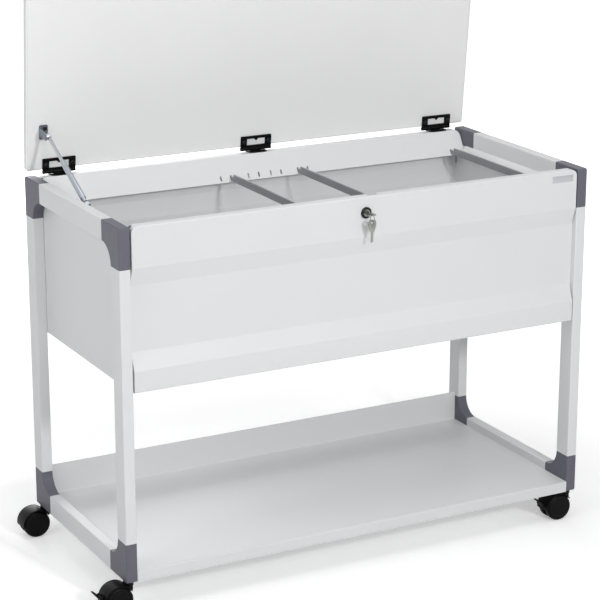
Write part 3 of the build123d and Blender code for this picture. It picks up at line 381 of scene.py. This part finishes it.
# Melamine laminate pressed on board: matt light grey with a fine fleck in its bump, and a hairline
# seam round the faces where the edging is glued on.
lid_laminate, tree, shader = new_finish("melamine_laminate_light_grey", LID_COLOUR, 0.5)
place = add_node(tree, "TexCoord").outputs["Object"]
hinge = HINGE_AXIS * 0.001
flat = add_node(
    tree,
    "Mapping",
    {"Vector": place, "Rotation": (LID_OPEN, 0.0, 0.0), "Location": hinge - shut @ hinge},
).outputs["Vector"]
across = add_node(tree, "SeparateXYZ", {"Vector": flat})
width = add_node(tree, "Math", {0: across.outputs["X"]}, operation="ABSOLUTE")
to_side = add_node(tree, "Math", {0: LID_HALF, 1: width.outputs["Value"]}, operation="SUBTRACT")
to_front = add_node(tree, "Math", {0: across.outputs["Y"], 1: LID_FRONT}, operation="SUBTRACT")
to_rear = add_node(tree, "Math", {0: LID_REAR, 1: across.outputs["Y"]}, operation="SUBTRACT")
to_end = add_node(
    tree, "Math", {0: to_front.outputs["Value"], 1: to_rear.outputs["Value"]}, operation="MINIMUM"
)
to_edge = add_node(
    tree, "Math", {0: to_end.outputs["Value"], 1: to_side.outputs["Value"]}, operation="MINIMUM"
)
seam = add_node(tree, "Math", {0: to_edge.outputs["Value"], 1: BAND, 2: SEAM_HALF}, operation="COMPARE")
cloud = add_node(tree, "TexNoise", {"Vector": flat, "Scale": per_metre(LID_CLOUD), "Detail": 2.0})
tone = add_node(
    tree,
    "Mix",
    {0: cloud.outputs["Fac"], 6: linear(LID_COLOUR), 7: linear(LID_SHADE)},
    data_type="RGBA",
)
seamed = add_node(
    tree, "Mix", {0: seam.outputs["Value"], 6: tone.outputs[2], 7: linear(LID_SEAM)}, data_type="RGBA"
)
tree.links.new(seamed.outputs[2], shader.inputs["Base Color"])
fleck = add_node(tree, "TexNoise", {"Vector": flat, "Scale": per_metre(LID_FLECK), "Detail": 3.0})
gloss = add_node(tree, "MapRange", {"Value": fleck.outputs["Fac"], "To Min": 0.42, "To Max": 0.58})
tree.links.new(gloss.outputs["Result"], shader.inputs["Roughness"])
pimples = add_node(tree, "Bump", {"Height": fleck.outputs["Fac"], "Strength": 0.08, "Distance": 0.0003})
tree.links.new(pimples.outputs["Normal"], shader.inputs["Normal"])
dress(lid_laminate, "lid_board")

# Lid buffers: two rubber buttons under the lid's free edge that cushion it on the front panel.
BUFFER_COLOUR = "46474A"
RUBBER_BLOOM = 3.0

# Moulded rubber: dull dark grey with a slight bloom.
buffer_rubber, tree, shader = new_finish("moulded_rubber_dark_grey", BUFFER_COLOUR, 0.8)
place = add_node(tree, "TexCoord").outputs["Object"]
bloom = add_node(tree, "TexNoise", {"Vector": place, "Scale": per_metre(RUBBER_BLOOM), "Detail": 2.0})
gloss = add_node(tree, "MapRange", {"Value": bloom.outputs["Fac"], "To Min": 0.7, "To Max": 0.9})
tree.links.new(gloss.outputs["Result"], shader.inputs["Roughness"])
dress(buffer_rubber, "lid_buffers")

# Lid fittings: the keeper that the lock's cam turns into and the strut's bracket, both bent from zinc
# plated sheet, and the pan-head screws that hold these and the hinge leaves to the board.
HINGE_XS = (-389.0, 0.0, 389.0)
LEAF_FACE = 670.0
FITTING_FACE = 671.0
SCREW_TIP = 681.0
LID_SCREWS = [(x + step, 192.25, LEAF_FACE) for x in HINGE_XS for step in (-25.0, 25.0)]
LID_SCREWS += [(x, y, FITTING_FACE) for x, y in ((-416.0, 125.0), (-416.0, 138.0), (17.5, -182.5))]
BLACK_ZINC_COLOUR = "2A2B2D"
dress(zinc_plate, "lid_keeper", "strut_lid_bracket", "strut_frame_bracket", "hinge_pins")

# Black-passivated zinc on steel: a dark metal with a soft, slightly clouded gloss.
black_zinc, tree, shader = new_finish("black_passivated_zinc", BLACK_ZINC_COLOUR, 0.35, 0.8)
place = add_node(tree, "TexCoord").outputs["Object"]
clouds = add_node(tree, "TexNoise", {"Vector": place, "Scale": per_metre(ZINC_CLOUD), "Detail": 3.0})
gloss = add_node(tree, "MapRange", {"Value": clouds.outputs["Fac"], "To Min": 0.28, "To Max": 0.5})
tree.links.new(gloss.outputs["Result"], shader.inputs["Roughness"])
screws = bmesh.new()
for x, y, seat in LID_SCREWS:
    driven = Matrix.Translation((x, y, seat)) @ Matrix.Rotation(math.pi, 4, "X")
    join(screws, pan_screw(SCREW_TIP - seat), opened @ driven)
make_piece("lid_screw_set", screws, black_zinc, "lid", "zinc_steel", "lid_screws")

# Hinges: three black plastic hinges. The windowed leaf with two knuckles is screwed to the lid, the
# clip with the middle knuckle sits over the rear panel's top edge, and a steel pin joins them.
LEAF_HALF = 31.0
KNUCKLE_START = 10.4
KNUCKLE = 3.4
PIN_BORE = 1.55
CLIP_HALF = 19.0
CLIP_REAR = 209.0
CLIP_KNUCKLE = 10.0
BLACK_COLOUR = "070708"
BLACK_GRAIN = 1.4


def turned(points, closed=False, steps=48):
    """Turns a line of (radius, along, corner radius) points round the Y axis, as on a lathe."""
    shape = bmesh.new()
    draw_line(shape, points, closed)
    bmesh.ops.spin(
        shape,
        geom=shape.verts[:] + shape.edges[:],
        cent=(0.0, 0.0, 0.0),
        axis=(0.0, 1.0, 0.0),
        angle=2 * math.pi,
        steps=steps,
        use_merge=True,
    )
    bmesh.ops.remove_doubles(shape, verts=shape.verts[:], dist=0.001)
    bmesh.ops.recalc_face_normals(shape, faces=shape.faces[:])
    return shape


def sleeve(bore, radius, start, stop, rounding):
    """The section of a tube, or of a rod where it has no bore, with its outer edges rounded."""
    return [(bore, start, 0.0), (radius, start, rounding), (radius, stop, rounding), (bore, stop, 0.0)]


# Acetal, moulded black: a dark low gloss with a fine grain, drawn a little coarser than it is.
black_plastic, tree, shader = new_finish("moulded_acetal_black", BLACK_COLOUR, 0.42)
shader.inputs["Specular IOR Level"].default_value = 0.1
place = add_node(tree, "TexCoord").outputs["Object"]
grain = add_node(tree, "TexNoise", {"Vector": place, "Scale": per_metre(BLACK_GRAIN), "Detail": 2.0})
gloss = add_node(tree, "MapRange", {"Value": grain.outputs["Fac"], "To Min": 0.34, "To Max": 0.52})
tree.links.new(gloss.outputs["Result"], shader.inputs["Roughness"])
pits = add_node(tree, "Bump", {"Height": grain.outputs["Fac"], "Strength": 0.12, "Distance": 0.0002})
tree.links.new(pits.outputs["Normal"], shader.inputs["Normal"])
to_x = Matrix.Rotation(-math.pi / 2, 4, "Z")
knuckle_line = Matrix.Translation(HINGE_AXIS) @ to_x
leaves = bmesh.new()
clips = bmesh.new()
for x in HINGE_XS:
    along = Matrix.Translation((x, 0.0, 0.0))
    leaf = [
        (-LEAF_HALF, 181.0, 1.5), (LEAF_HALF, 181.0, 1.5),
        (LEAF_HALF, HINGE_AXIS.y, 0.0), (KNUCKLE_START, HINGE_AXIS.y, 0.0),
        (KNUCKLE_START, 201.7, 0.0), (-KNUCKLE_START, 201.7, 0.0),
        (-KNUCKLE_START, HINGE_AXIS.y, 0.0), (-LEAF_HALF, HINGE_AXIS.y, 0.0),
    ]
    window = [
        (-19.0, 186.0, 0.6), (-4.0, 186.0, 0.0), (0.0, 190.0, 0.4), (4.0, 186.0, 0.0),
        (19.0, 186.0, 0.6), (19.0, 198.5, 0.6), (-19.0, 198.5, 0.6),
    ]
    leaf_at = Matrix.Translation((0.0, 0.0, LEAF_FACE))
    join(leaves, soften(cut_plate(leaf, 3.0, windows=[window]), 0.45), opened @ along @ leaf_at)
    for start, stop in ((-LEAF_HALF, -KNUCKLE_START), (KNUCKLE_START, LEAF_HALF)):
        barrel = sleeve(PIN_BORE, KNUCKLE, start, stop, 0.5)
        join(leaves, turned(barrel, True, 32), opened @ along @ knuckle_line)
    seat = [
        (-CLIP_HALF, 188.9, 9.0), (CLIP_HALF, 188.9, 9.0),
        (CLIP_HALF, CLIP_REAR, 0.4), (-CLIP_HALF, CLIP_REAR, 0.4),
    ]
    join(clips, soften(cut_plate(seat, 1.2), 0.3), along @ Matrix.Translation((0.0, 0.0, 667.0)))
    lip = [
        (-CLIP_HALF, 659.0, 1.5), (CLIP_HALF, 659.0, 1.5),
        (CLIP_HALF, 667.6, 0.0), (-CLIP_HALF, 667.6, 0.0),
    ]
    upright = Matrix.Translation((0.0, CLIP_REAR, 0.0)) @ Matrix.Rotation(math.pi / 2, 4, "X")
    join(clips, soften(cut_plate(lip, 1.5), 0.3), along @ upright)
    foot = [
        (-CLIP_KNUCKLE, 203.1, 0.0), (CLIP_KNUCKLE, 203.1, 0.0),
        (CLIP_KNUCKLE, 207.9, 0.0), (-CLIP_KNUCKLE, 207.9, 0.0),
    ]
    join(clips, soften(cut_plate(foot, 1.9), 0.3), along @ Matrix.Translation((0.0, 0.0, 667.8)))
    barrel = sleeve(PIN_BORE, KNUCKLE, -CLIP_KNUCKLE, CLIP_KNUCKLE, 0.5)
    join(clips, turned(barrel, True, 32), along @ knuckle_line)
make_piece("hinge_leaf_set", leaves, black_plastic, "lid", "black_plastic", "hinge_leaves")
make_piece("hinge_clip_set", clips, black_plastic, "frame", "black_plastic", "hinge_clips")

# Gas strut: a drawn steel pressure tube with a rolled groove behind its rod guide, and a ground and
# chromed piston rod. Its foot turns on the left rail's stud, its rod end beside the lid's bracket.
STRUT_FOOT = (-420.0, 4.5, 659.0)
STRUT_ANGLE = math.radians(26.8288)
STRUT_LONG = 186.064
EYE = 5.0
EYE_HALF = 4.0
TUBE_COLOUR = "A3A9B1"
TUBE_DRAW = 1.6
ROD_COLOUR = "B5B9BF"
strut_line = Matrix.Translation(STRUT_FOOT) @ Matrix.Rotation(STRUT_ANGLE, 4, "X")

# Drawn tube, zinc plated: silver grey with faint lengthwise draw lines, turned to the strut's angle.
strut_zinc, tree, shader = new_finish("zinc_plated_drawn_tube", TUBE_COLOUR, 0.3, 0.85)
place = add_node(tree, "TexCoord").outputs["Object"]
turn = add_node(tree, "Mapping", {"Vector": place, "Rotation": (-STRUT_ANGLE, 0.0, 0.0)})
stretch = add_node(tree, "Mapping", {"Vector": turn.outputs["Vector"], "Scale": (1.0, 0.04, 1.0)})
lines = add_node(
    tree, "TexNoise", {"Vector": stretch.outputs["Vector"], "Scale": per_metre(TUBE_DRAW), "Detail": 2.0}
)
gloss = add_node(tree, "MapRange", {"Value": lines.outputs["Fac"], "To Min": 0.24, "To Max": 0.4})
tree.links.new(gloss.outputs["Result"], shader.inputs["Roughness"])

# Hard chrome on a ground rod: bright, with a little grinding haze.
rod_chrome, tree, shader = new_finish("hard_chrome_ground_rod", ROD_COLOUR, 0.12, 1.0)
place = add_node(tree, "TexCoord").outputs["Object"]
haze = add_node(tree, "TexNoise", {"Vector": place, "Scale": per_metre(TUBE_DRAW), "Detail": 2.0})
gloss = add_node(tree, "MapRange", {"Value": haze.outputs["Fac"], "To Min": 0.08, "To Max": 0.2})
tree.links.new(gloss.outputs["Result"], shader.inputs["Roughness"])
tube = bmesh.new()
body = [
    (0.0, 6.0, 0.0), (3.4, 6.0, 0.0), (3.4, 14.0, 0.6), (5.0, 14.0, 1.2), (5.0, 104.0, 0.3),
    (4.4, 104.8, 0.3), (4.4, 105.6, 0.3), (5.0, 106.4, 0.3), (5.0, 114.0, 1.0), (3.05, 114.0, 0.0),
    (3.05, 106.0, 0.0), (4.0, 106.0, 0.0), (4.0, 16.0, 0.0), (0.0, 16.0, 0.0),
]
join(tube, turned(body), strut_line)
join(tube, turned(sleeve(3.05, EYE, -EYE_HALF, EYE_HALF, 0.7), True), strut_line @ to_x)
make_piece("strut_tube", tube, strut_zinc, "strut_cylinder", "zinc_steel", "strut_cylinder")
rod = bmesh.new()
stem = [
    (0.0, 97.0, 0.0), (3.9, 97.0, 0.4), (3.9, 103.0, 0.4),
    (3.0, 103.0, 0.0), (3.0, 182.5, 0.0), (0.0, 182.5, 0.0),
]
join(rod, turned(stem), strut_line)
rod_end = strut_line @ Matrix.Translation((0.0, STRUT_LONG, 0.0)) @ to_x
join(rod, turned(sleeve(0.0, EYE, -EYE_HALF, EYE_HALF, 0.8)), rod_end)
make_piece("strut_piston_rod", rod, rod_chrome, "strut_rod", "rod_chrome", "strut_rod")

# Lock: a nickel-plated cam lock through the front panel, held by a nut behind it, with a rosette in
# front and a turning plug that carries the cam.
LOCK_Z = 641.5
NICKEL_COLOUR = "92948D"
NICKEL_SHADE = "7C7E77"
# The barrel's near-black colour is painted reflection, standing in for the dark surroundings that polished
# nickel mirrors.
PAINTED_REFLECTION_NICKEL = "2E2F31"
NICKEL_CLOUD = 5.0

# Bright nickel on brass and steel: a greyish silver that shows the light and dark round it.
lock_nickel, tree, shader = new_finish("bright_nickel_plating", NICKEL_COLOUR, 0.2, 1.0)
place = add_node(tree, "TexCoord").outputs["Object"]
clouds = add_node(tree, "TexNoise", {"Vector": place, "Scale": per_metre(NICKEL_CLOUD), "Detail": 3.0})
tone = add_node(
    tree,
    "Mix",
    {0: clouds.outputs["Fac"], 6: linear(NICKEL_COLOUR), 7: linear(NICKEL_SHADE)},
    data_type="RGBA",
)
tree.links.new(tone.outputs[2], shader.inputs["Base Color"])
gloss = add_node(tree, "MapRange", {"Value": clouds.outputs["Fac"], "To Min": 0.14, "To Max": 0.3})
tree.links.new(gloss.outputs["Result"], shader.inputs["Roughness"])

# Nickel on the barrel, painted dark as a smoky mirror: its near-black colour is painted reflection of dark
# surroundings, darker than the plug and the keys.
barrel_nickel_painted_reflection, tree, shader = new_finish("nickel_plating_painted_dark_reflection", PAINTED_REFLECTION_NICKEL, 0.18, 1.0)
place = add_node(tree, "TexCoord").outputs["Object"]
clouds = add_node(tree, "TexNoise", {"Vector": place, "Scale": per_metre(NICKEL_CLOUD), "Detail": 3.0})
gloss = add_node(tree, "MapRange", {"Value": clouds.outputs["Fac"], "To Min": 0.1, "To Max": 0.26})
tree.links.new(gloss.outputs["Result"], shader.inputs["Roughness"])
dress(lock_nickel, "lock_nut", "lock_plug", "lock_cam")
housing = bmesh.new()
barrel = [
    (6.1, -210.5, 0.2), (7.4, -210.5, 0.3), (8.0, -209.9, 0.2), (8.6, -210.2, 0.3), (10.0, -209.4, 0.7),
    (10.0, PANEL_FRONT, 0.0), (9.0, PANEL_FRONT, 0.0), (9.0, -194.5, 0.4), (6.1, -194.5, 0.0),
]
join(housing, turned(barrel, True), Matrix.Translation((0.0, 0.0, LOCK_Z)))
# The barrel takes the nickel whose dark colour is painted reflection.
make_piece("lock_barrel", housing, barrel_nickel_painted_reflection, "frame", "lock_nickel", "lock_housing")

# Keys: two stamped steel keys on a split ring, nickel plated. One sits in the lock with its bow level,
# and the other hangs from the ring that passes through the first one's bow.
BOW_FRONT = -230.5
BOW_REAR = -214.5
BLADE_END = -197.0
KEY_THICK = 2.0
RING_Y = -229.097
RING_Z = 636.95
RING = 6.5
RING_STEPS = 112
WIRE = 0.37
key = bmesh.new()
outline = [
    (-8.0, BOW_FRONT, 4.0), (8.0, BOW_FRONT, 4.0), (8.0, BOW_REAR, 3.4), (3.0, BOW_REAR, 0.5),
    (3.0, -208.0, 0.0), (2.2, -206.8, 0.0), (2.9, -205.4, 0.0), (1.6, -203.6, 0.0), (2.6, -202.0, 0.0),
    (2.0, -200.4, 0.0), (2.6, -199.0, 0.3), (0.6, BLADE_END, 0.3), (-3.0, BLADE_END, 1.0),
    (-3.0, BOW_REAR, 0.5), (-8.0, BOW_REAR, 3.4),
]
join(
    key,
    soften(cut_plate(outline, KEY_THICK, holes=[(0.0, -225.18, 2.66)]), 0.3),
    Matrix.Translation((0.0, 0.0, LOCK_Z - KEY_THICK / 2)),
)
make_piece("key_in_lock", key, lock_nickel, "key", "lock_nickel", "lock_key")
ring = bmesh.new()
wire = bmesh.ops.create_circle(ring, cap_ends=False, segments=12, radius=WIRE)["verts"]
bmesh.ops.scale(ring, vec=(1.6, 1.0, 1.0), verts=wire)
bmesh.ops.rotate(ring, cent=(0.0, 0.0, 0.0), matrix=Matrix.Rotation(math.pi / 2, 3, "X"), verts=wire)
bmesh.ops.translate(ring, vec=(RING, 0.0, -WIRE), verts=wire)
bmesh.ops.spin(
    ring,
    geom=ring.verts[:] + ring.edges[:],
    cent=(0.0, 0.0, 0.0),
    axis=(0.0, 0.0, 1.0),
    dvec=(0.0, 0.0, 2 * WIRE / RING_STEPS),
    angle=4 * math.pi,
    steps=RING_STEPS,
)
bmesh.ops.holes_fill(ring, edges=[edge for edge in ring.edges if edge.is_boundary])
coil = bmesh.new()
join(coil, ring, Matrix.Translation((0.0, RING_Y, RING_Z)) @ Matrix.Rotation(math.pi / 2, 4, "Y"))
make_piece("split_ring", coil, lock_nickel, "key_bunch", "lock_nickel", "key_ring")
spare = bmesh.new()
outline = [
    (-5.6, 633.6, 1.6), (5.6, 633.6, 1.6), (8.0, 625.6, 2.4), (3.6, 612.6, 1.0), (2.25, 612.6, 0.3),
    (2.25, 608.4, 0.0), (1.2, 607.0, 0.0), (2.1, 605.6, 0.0), (0.8, 603.4, 0.0), (2.0, 601.4, 0.0),
    (1.3, 599.6, 0.0), (2.1, 597.6, 0.2), (0.3, 594.6, 0.3), (-2.25, 594.6, 0.8), (-2.25, 612.6, 0.3),
    (-3.6, 612.6, 1.0), (-8.0, 625.6, 2.4),
]
join(
    spare,
    soften(cut_plate(outline, KEY_THICK, holes=[(0.0, 629.1, 2.3)]), 0.3),
    Matrix.Translation((0.0, RING_Y + KEY_THICK / 2, 0.0)) @ Matrix.Rotation(math.pi / 2, 4, "X"),
)
make_piece("spare_key_plate", spare, lock_nickel, "key_bunch", "lock_nickel", "spare_key")

# Castors: four twin-wheel swivel castors in black plastic. Each has two domed wheels on a steel axle
# under a moulded hood that turns on a steel stem, and the front two have a foot brake.
CASTOR_X = 443.5
CASTOR_Y = 189.5
TRAIL = 22.0
WHEEL = 25.0
WHEEL_COLOUR = "060607"
WHEEL_SCUFF = 6.0
CASTOR_HALF = 17.5
CORE_HALF = 5.5
HOOD_ARC = (35.0, 187.0)
AXLE_BORE = 3.05
STEM_BORE = 4.05
PEDAL_PIVOT = (-51.75, 0.0, 32.97)
PEDAL_RISE = math.radians(40)
PEDAL_HALF = 10.0
PEDAL_NECK = 7.5
TREAD_THICK = 2.6
LUG_BORE = 1.55
LUG_THICK = 2.2


def swept(section, start, stop):
    """Sweeps a closed (radius, along) section round the Y axis, from one angle above +X to another."""
    shape = bmesh.new()
    draw_line(shape, section, True)
    begin = Matrix.Rotation(-math.radians(start), 3, "Y")
    bmesh.ops.rotate(shape, cent=(0.0, 0.0, 0.0), matrix=begin, verts=shape.verts[:])
    bmesh.ops.spin(
        shape,
        geom=shape.verts[:] + shape.edges[:],
        cent=(0.0, 0.0, 0.0),
        axis=(0.0, -1.0, 0.0),
        angle=math.radians(stop - start),
        steps=44,
    )
    bmesh.ops.holes_fill(shape, edges=[edge for edge in shape.edges if edge.is_boundary])
    bmesh.ops.recalc_face_normals(shape, faces=shape.faces[:])
    return shape


# Polyamide wheel, moulded smooth: black and semi-gloss, scuffed duller in patches.
wheel_plastic, tree, shader = new_finish("moulded_polyamide_wheel_black", WHEEL_COLOUR, 0.32)
shader.inputs["Specular IOR Level"].default_value = 0.1
place = add_node(tree, "TexCoord").outputs["Object"]
scuffs = add_node(tree, "TexNoise", {"Vector": place, "Scale": per_metre(WHEEL_SCUFF), "Detail": 4.0})
gloss = add_node(tree, "MapRange", {"Value": scuffs.outputs["Fac"], "To Min": 0.24, "To Max": 0.5})
tree.links.new(gloss.outputs["Result"], shader.inputs["Roughness"])
dress(black_zinc, "castor_stems")
for end, end_sign in (("front", -1), ("rear", 1)):
    for side, side_sign in (("left", -1), ("right", 1)):
        name = f"{end}_{side}_castor"
        stand = Matrix.Translation((side_sign * CASTOR_X, end_sign * CASTOR_Y, 0.0))
        axle = stand @ Matrix.Translation((-TRAIL, 0.0, WHEEL))
        dress(zinc_plate, f"{name}_axle")
        rim = [
            (3.1, 6.0, 0.0), (7.0, 6.0, 0.4), (8.0, 9.0, 0.8), (18.5, 9.0, 0.8), (20.0, 6.0, 0.5),
            (WHEEL, 6.0, 1.5), (WHEEL, CASTOR_HALF, 5.0), (18.6, CASTOR_HALF, 0.4), (18.2, 16.9, 0.3),
            (17.2, 16.9, 0.3), (16.6, 17.3, 0.3), (8.0, CASTOR_HALF, 0.0), (0.0, CASTOR_HALF, 0.0),
            (0.0, 14.0, 0.0), (3.1, 14.0, 0.0),
        ]
        wheels = bmesh.new()
        for hand in (0.0, math.pi):
            join(wheels, turned(rim, True, 72), axle @ Matrix.Rotation(hand, 4, "Z"))
        make_piece(
            f"{name}_wheel_pair", wheels, wheel_plastic, f"{name}_wheels", "wheel_plastic", f"{name}_wheels"
        )

        hood = bmesh.new()
        fender = [
            (25.8, -CASTOR_HALF, 0.4), (27.6, -CASTOR_HALF, 1.3),
            (27.6, CASTOR_HALF, 1.3), (25.8, CASTOR_HALF, 0.4),
        ]
        join(hood, swept(fender, *HOOD_ARC), axle)
        join(hood, swept(sleeve(19.0, 26.5, -CORE_HALF, CORE_HALF, 0.0), *HOOD_ARC), axle)
        join(hood, turned(sleeve(AXLE_BORE, 21.0, -CORE_HALF, CORE_HALF, 0.5), True), axle)
        boss = [(STEM_BORE, 45.9, 0.0), (9.0, 45.9, 0.4), (9.0, 52.3, 0.9), (STEM_BORE, 52.3, 0.0)]
        join(hood, turned(boss, True), stand @ Matrix.Rotation(math.pi / 2, 4, "X"))
        neck = [
            (-TRAIL, -CORE_HALF, 0.0), (7.1, -CORE_HALF, 3.0),
            (7.1, CORE_HALF, 3.0), (-TRAIL, CORE_HALF, 0.0),
        ]
        join(
            hood,
            soften(cut_plate(neck, 14.3, holes=[(0.0, 0.0, STEM_BORE)]), 0.4),
            stand @ Matrix.Translation((0.0, 0.0, 36.2)),
        )
        if end == "front":
            for start in (-PEDAL_HALF, PEDAL_HALF - LUG_THICK):
                lug = sleeve(LUG_BORE, 4.1, start, start + LUG_THICK, 0.4)
                join(hood, turned(lug, True, 32), stand @ Matrix.Translation(PEDAL_PIVOT))
        make_piece(f"{name}_cover", hood, black_plastic, name, "black_plastic", f"{name}_hood")

        if end == "front":
            pedal_at = stand @ Matrix.Translation(PEDAL_PIVOT) @ Matrix.Rotation(PEDAL_RISE, 4, "Y")
            pedal = bmesh.new()
            tread = [
                (-16.0, -PEDAL_HALF, 1.5), (-16.0, PEDAL_HALF, 1.5), (-5.0, PEDAL_HALF, 0.8),
                (-5.0, PEDAL_NECK, 0.0), (0.0, PEDAL_NECK, 0.0), (0.0, -PEDAL_NECK, 0.0),
                (-5.0, -PEDAL_NECK, 0.0), (-5.0, -PEDAL_HALF, 0.8),
            ]
            middle = pedal_at @ Matrix.Translation((0.0, 0.0, -TREAD_THICK / 2))
            join(pedal, soften(cut_plate(tread, TREAD_THICK), 0.5), middle)
            join(pedal, turned(sleeve(0.0, 2.6, -PEDAL_NECK, PEDAL_NECK, 0.4), steps=32), pedal_at)
            join(pedal, turned(sleeve(0.0, 1.5, -PEDAL_HALF, PEDAL_HALF, 0.3), steps=24), pedal_at)
            for x in (-13.8, -11.4, -9.0):
                rib = [(x - 0.6, -8.0, 0.0), (x + 0.6, -8.0, 0.0), (x + 0.6, 8.0, 0.0), (x - 0.6, 8.0, 0.0)]
                join(pedal, soften(cut_plate(rib, 0.8), 0.3), pedal_at @ Matrix.Translation((0.0, 0.0, 1.0)))
            make_piece(
                f"{name}_pedal", pedal, black_plastic, f"{name}_brake", "black_plastic", f"{name}_brake_lever"
            )

# Studio: a white floor that keeps a soft shadow, white all round, a small lamp in front, soft ones to
# the front left, the left, the rear and overhead, and the camera of the photograph.
FLOOR_COLOUR = "F4F4F4"
FLOOR_HALF = 9.0
SHADOW_NEAR, SHADOW_FAR = 0.6, 1.8
LIFT_NEAR, LIFT_FAR = 0.34, 0.95
WORLD_LIGHT = 0.2
LAMP_AIM = Vector((0.0, 0.0, 0.45))
CAMERA_AT = (-1.7337, -3.2321, 1.5275)
LOOK_DOWN = 16.616
LOOK_RIGHT = 27.989

# Matt white paper: lifted to white for the camera and in reflections, more so away from the object, so
# that only the shadow greys it.
floor_paper, tree, shader = new_finish("matt_white_paper", FLOOR_COLOUR, 0.9)
shader.inputs["Specular IOR Level"].default_value = 0.0


def seen_directly(tree):
    """Tells rays from the camera, in reflections or through glass from those that light the object."""
    rays = add_node(tree, "LightPath").outputs
    mirrored = {0: rays["Is Glossy Ray"], 1: rays["Is Transmission Ray"]}
    mirrored = add_node(tree, "Math", mirrored, operation="MAXIMUM").outputs["Value"]
    either = {0: rays["Is Camera Ray"], 1: mirrored}
    return add_node(tree, "Math", either, operation="MAXIMUM").outputs["Value"]


seen = seen_directly(tree)
place = add_node(tree, "TexCoord").outputs["Object"]
away = add_node(tree, "VectorMath", {0: place}, operation="LENGTH")
fade = add_node(
    tree,
    "MapRange",
    {
        "Value": away.outputs["Value"],
        "From Min": SHADOW_NEAR,
        "From Max": SHADOW_FAR,
        "To Min": LIFT_NEAR,
        "To Max": LIFT_FAR,
    },
)
lift = add_node(tree, "Math", {0: seen, 1: fade.outputs["Result"]}, operation="MULTIPLY")
tree.links.new(lift.outputs["Value"], shader.inputs["Emission Strength"])
shader.inputs["Emission Color"].default_value = (1.0, 1.0, 1.0, 1.0)
paper = bmesh.new()
bmesh.ops.create_grid(paper, x_segments=8, y_segments=8, size=FLOOR_HALF)
mesh = bpy.data.meshes.new("studio_floor")
paper.to_mesh(mesh)
paper.free()
mesh.materials.append(floor_paper)
floor = bpy.data.objects.new("studio_floor", mesh)
bpy.context.scene.collection.objects.link(floor)

world = bpy.data.worlds.new("studio_white")
bpy.context.scene.world = world
world.use_nodes = True
tree = world.node_tree
backdrop = tree.nodes["Background"]
backdrop.inputs["Color"].default_value = (1.0, 1.0, 1.0, 1.0)
level = add_node(tree, "MapRange", {"Value": seen_directly(tree), "To Min": WORLD_LIGHT, "To Max": 1.0})
tree.links.new(level.outputs["Result"], backdrop.inputs["Strength"])

for name, where, size, power in (
    ("front_lamp", (0.1, -2.6, 1.5), 0.2, 24.0),
    ("front_left_lamp", (-0.7, -2.6, 1.7), 1.0, 14.0),
    ("left_lamp", (-1.7, -0.3, 1.3), 1.0, 8.0),
    ("rear_lamp", (0.4, 3.2, 1.1), 1.8, 44.0),
    ("overhead_lamp", (0.0, -0.2, 2.6), 1.8, 15.0),
):
    lamp = bpy.data.lights.new(name, "AREA")
    lamp.size = size
    lamp.energy = power
    stand = bpy.data.objects.new(name, lamp)
    stand.location = where
    stand.rotation_euler = (LAMP_AIM - Vector(where)).to_track_quat("-Z", "Y").to_euler()
    bpy.context.scene.collection.objects.link(stand)

lens = bpy.data.cameras.new("photo_camera")
lens.sensor_width = 36.0
lens.lens = 127.67
camera = bpy.data.objects.new("photo_camera", lens)
camera.location = CAMERA_AT
camera.rotation_euler = (math.radians(90 - LOOK_DOWN), 0.0, math.radians(-LOOK_RIGHT))
bpy.context.scene.collection.objects.link(camera)
bpy.context.scene.camera = camera
bpy.context.scene.view_settings.view_transform = "Standard"
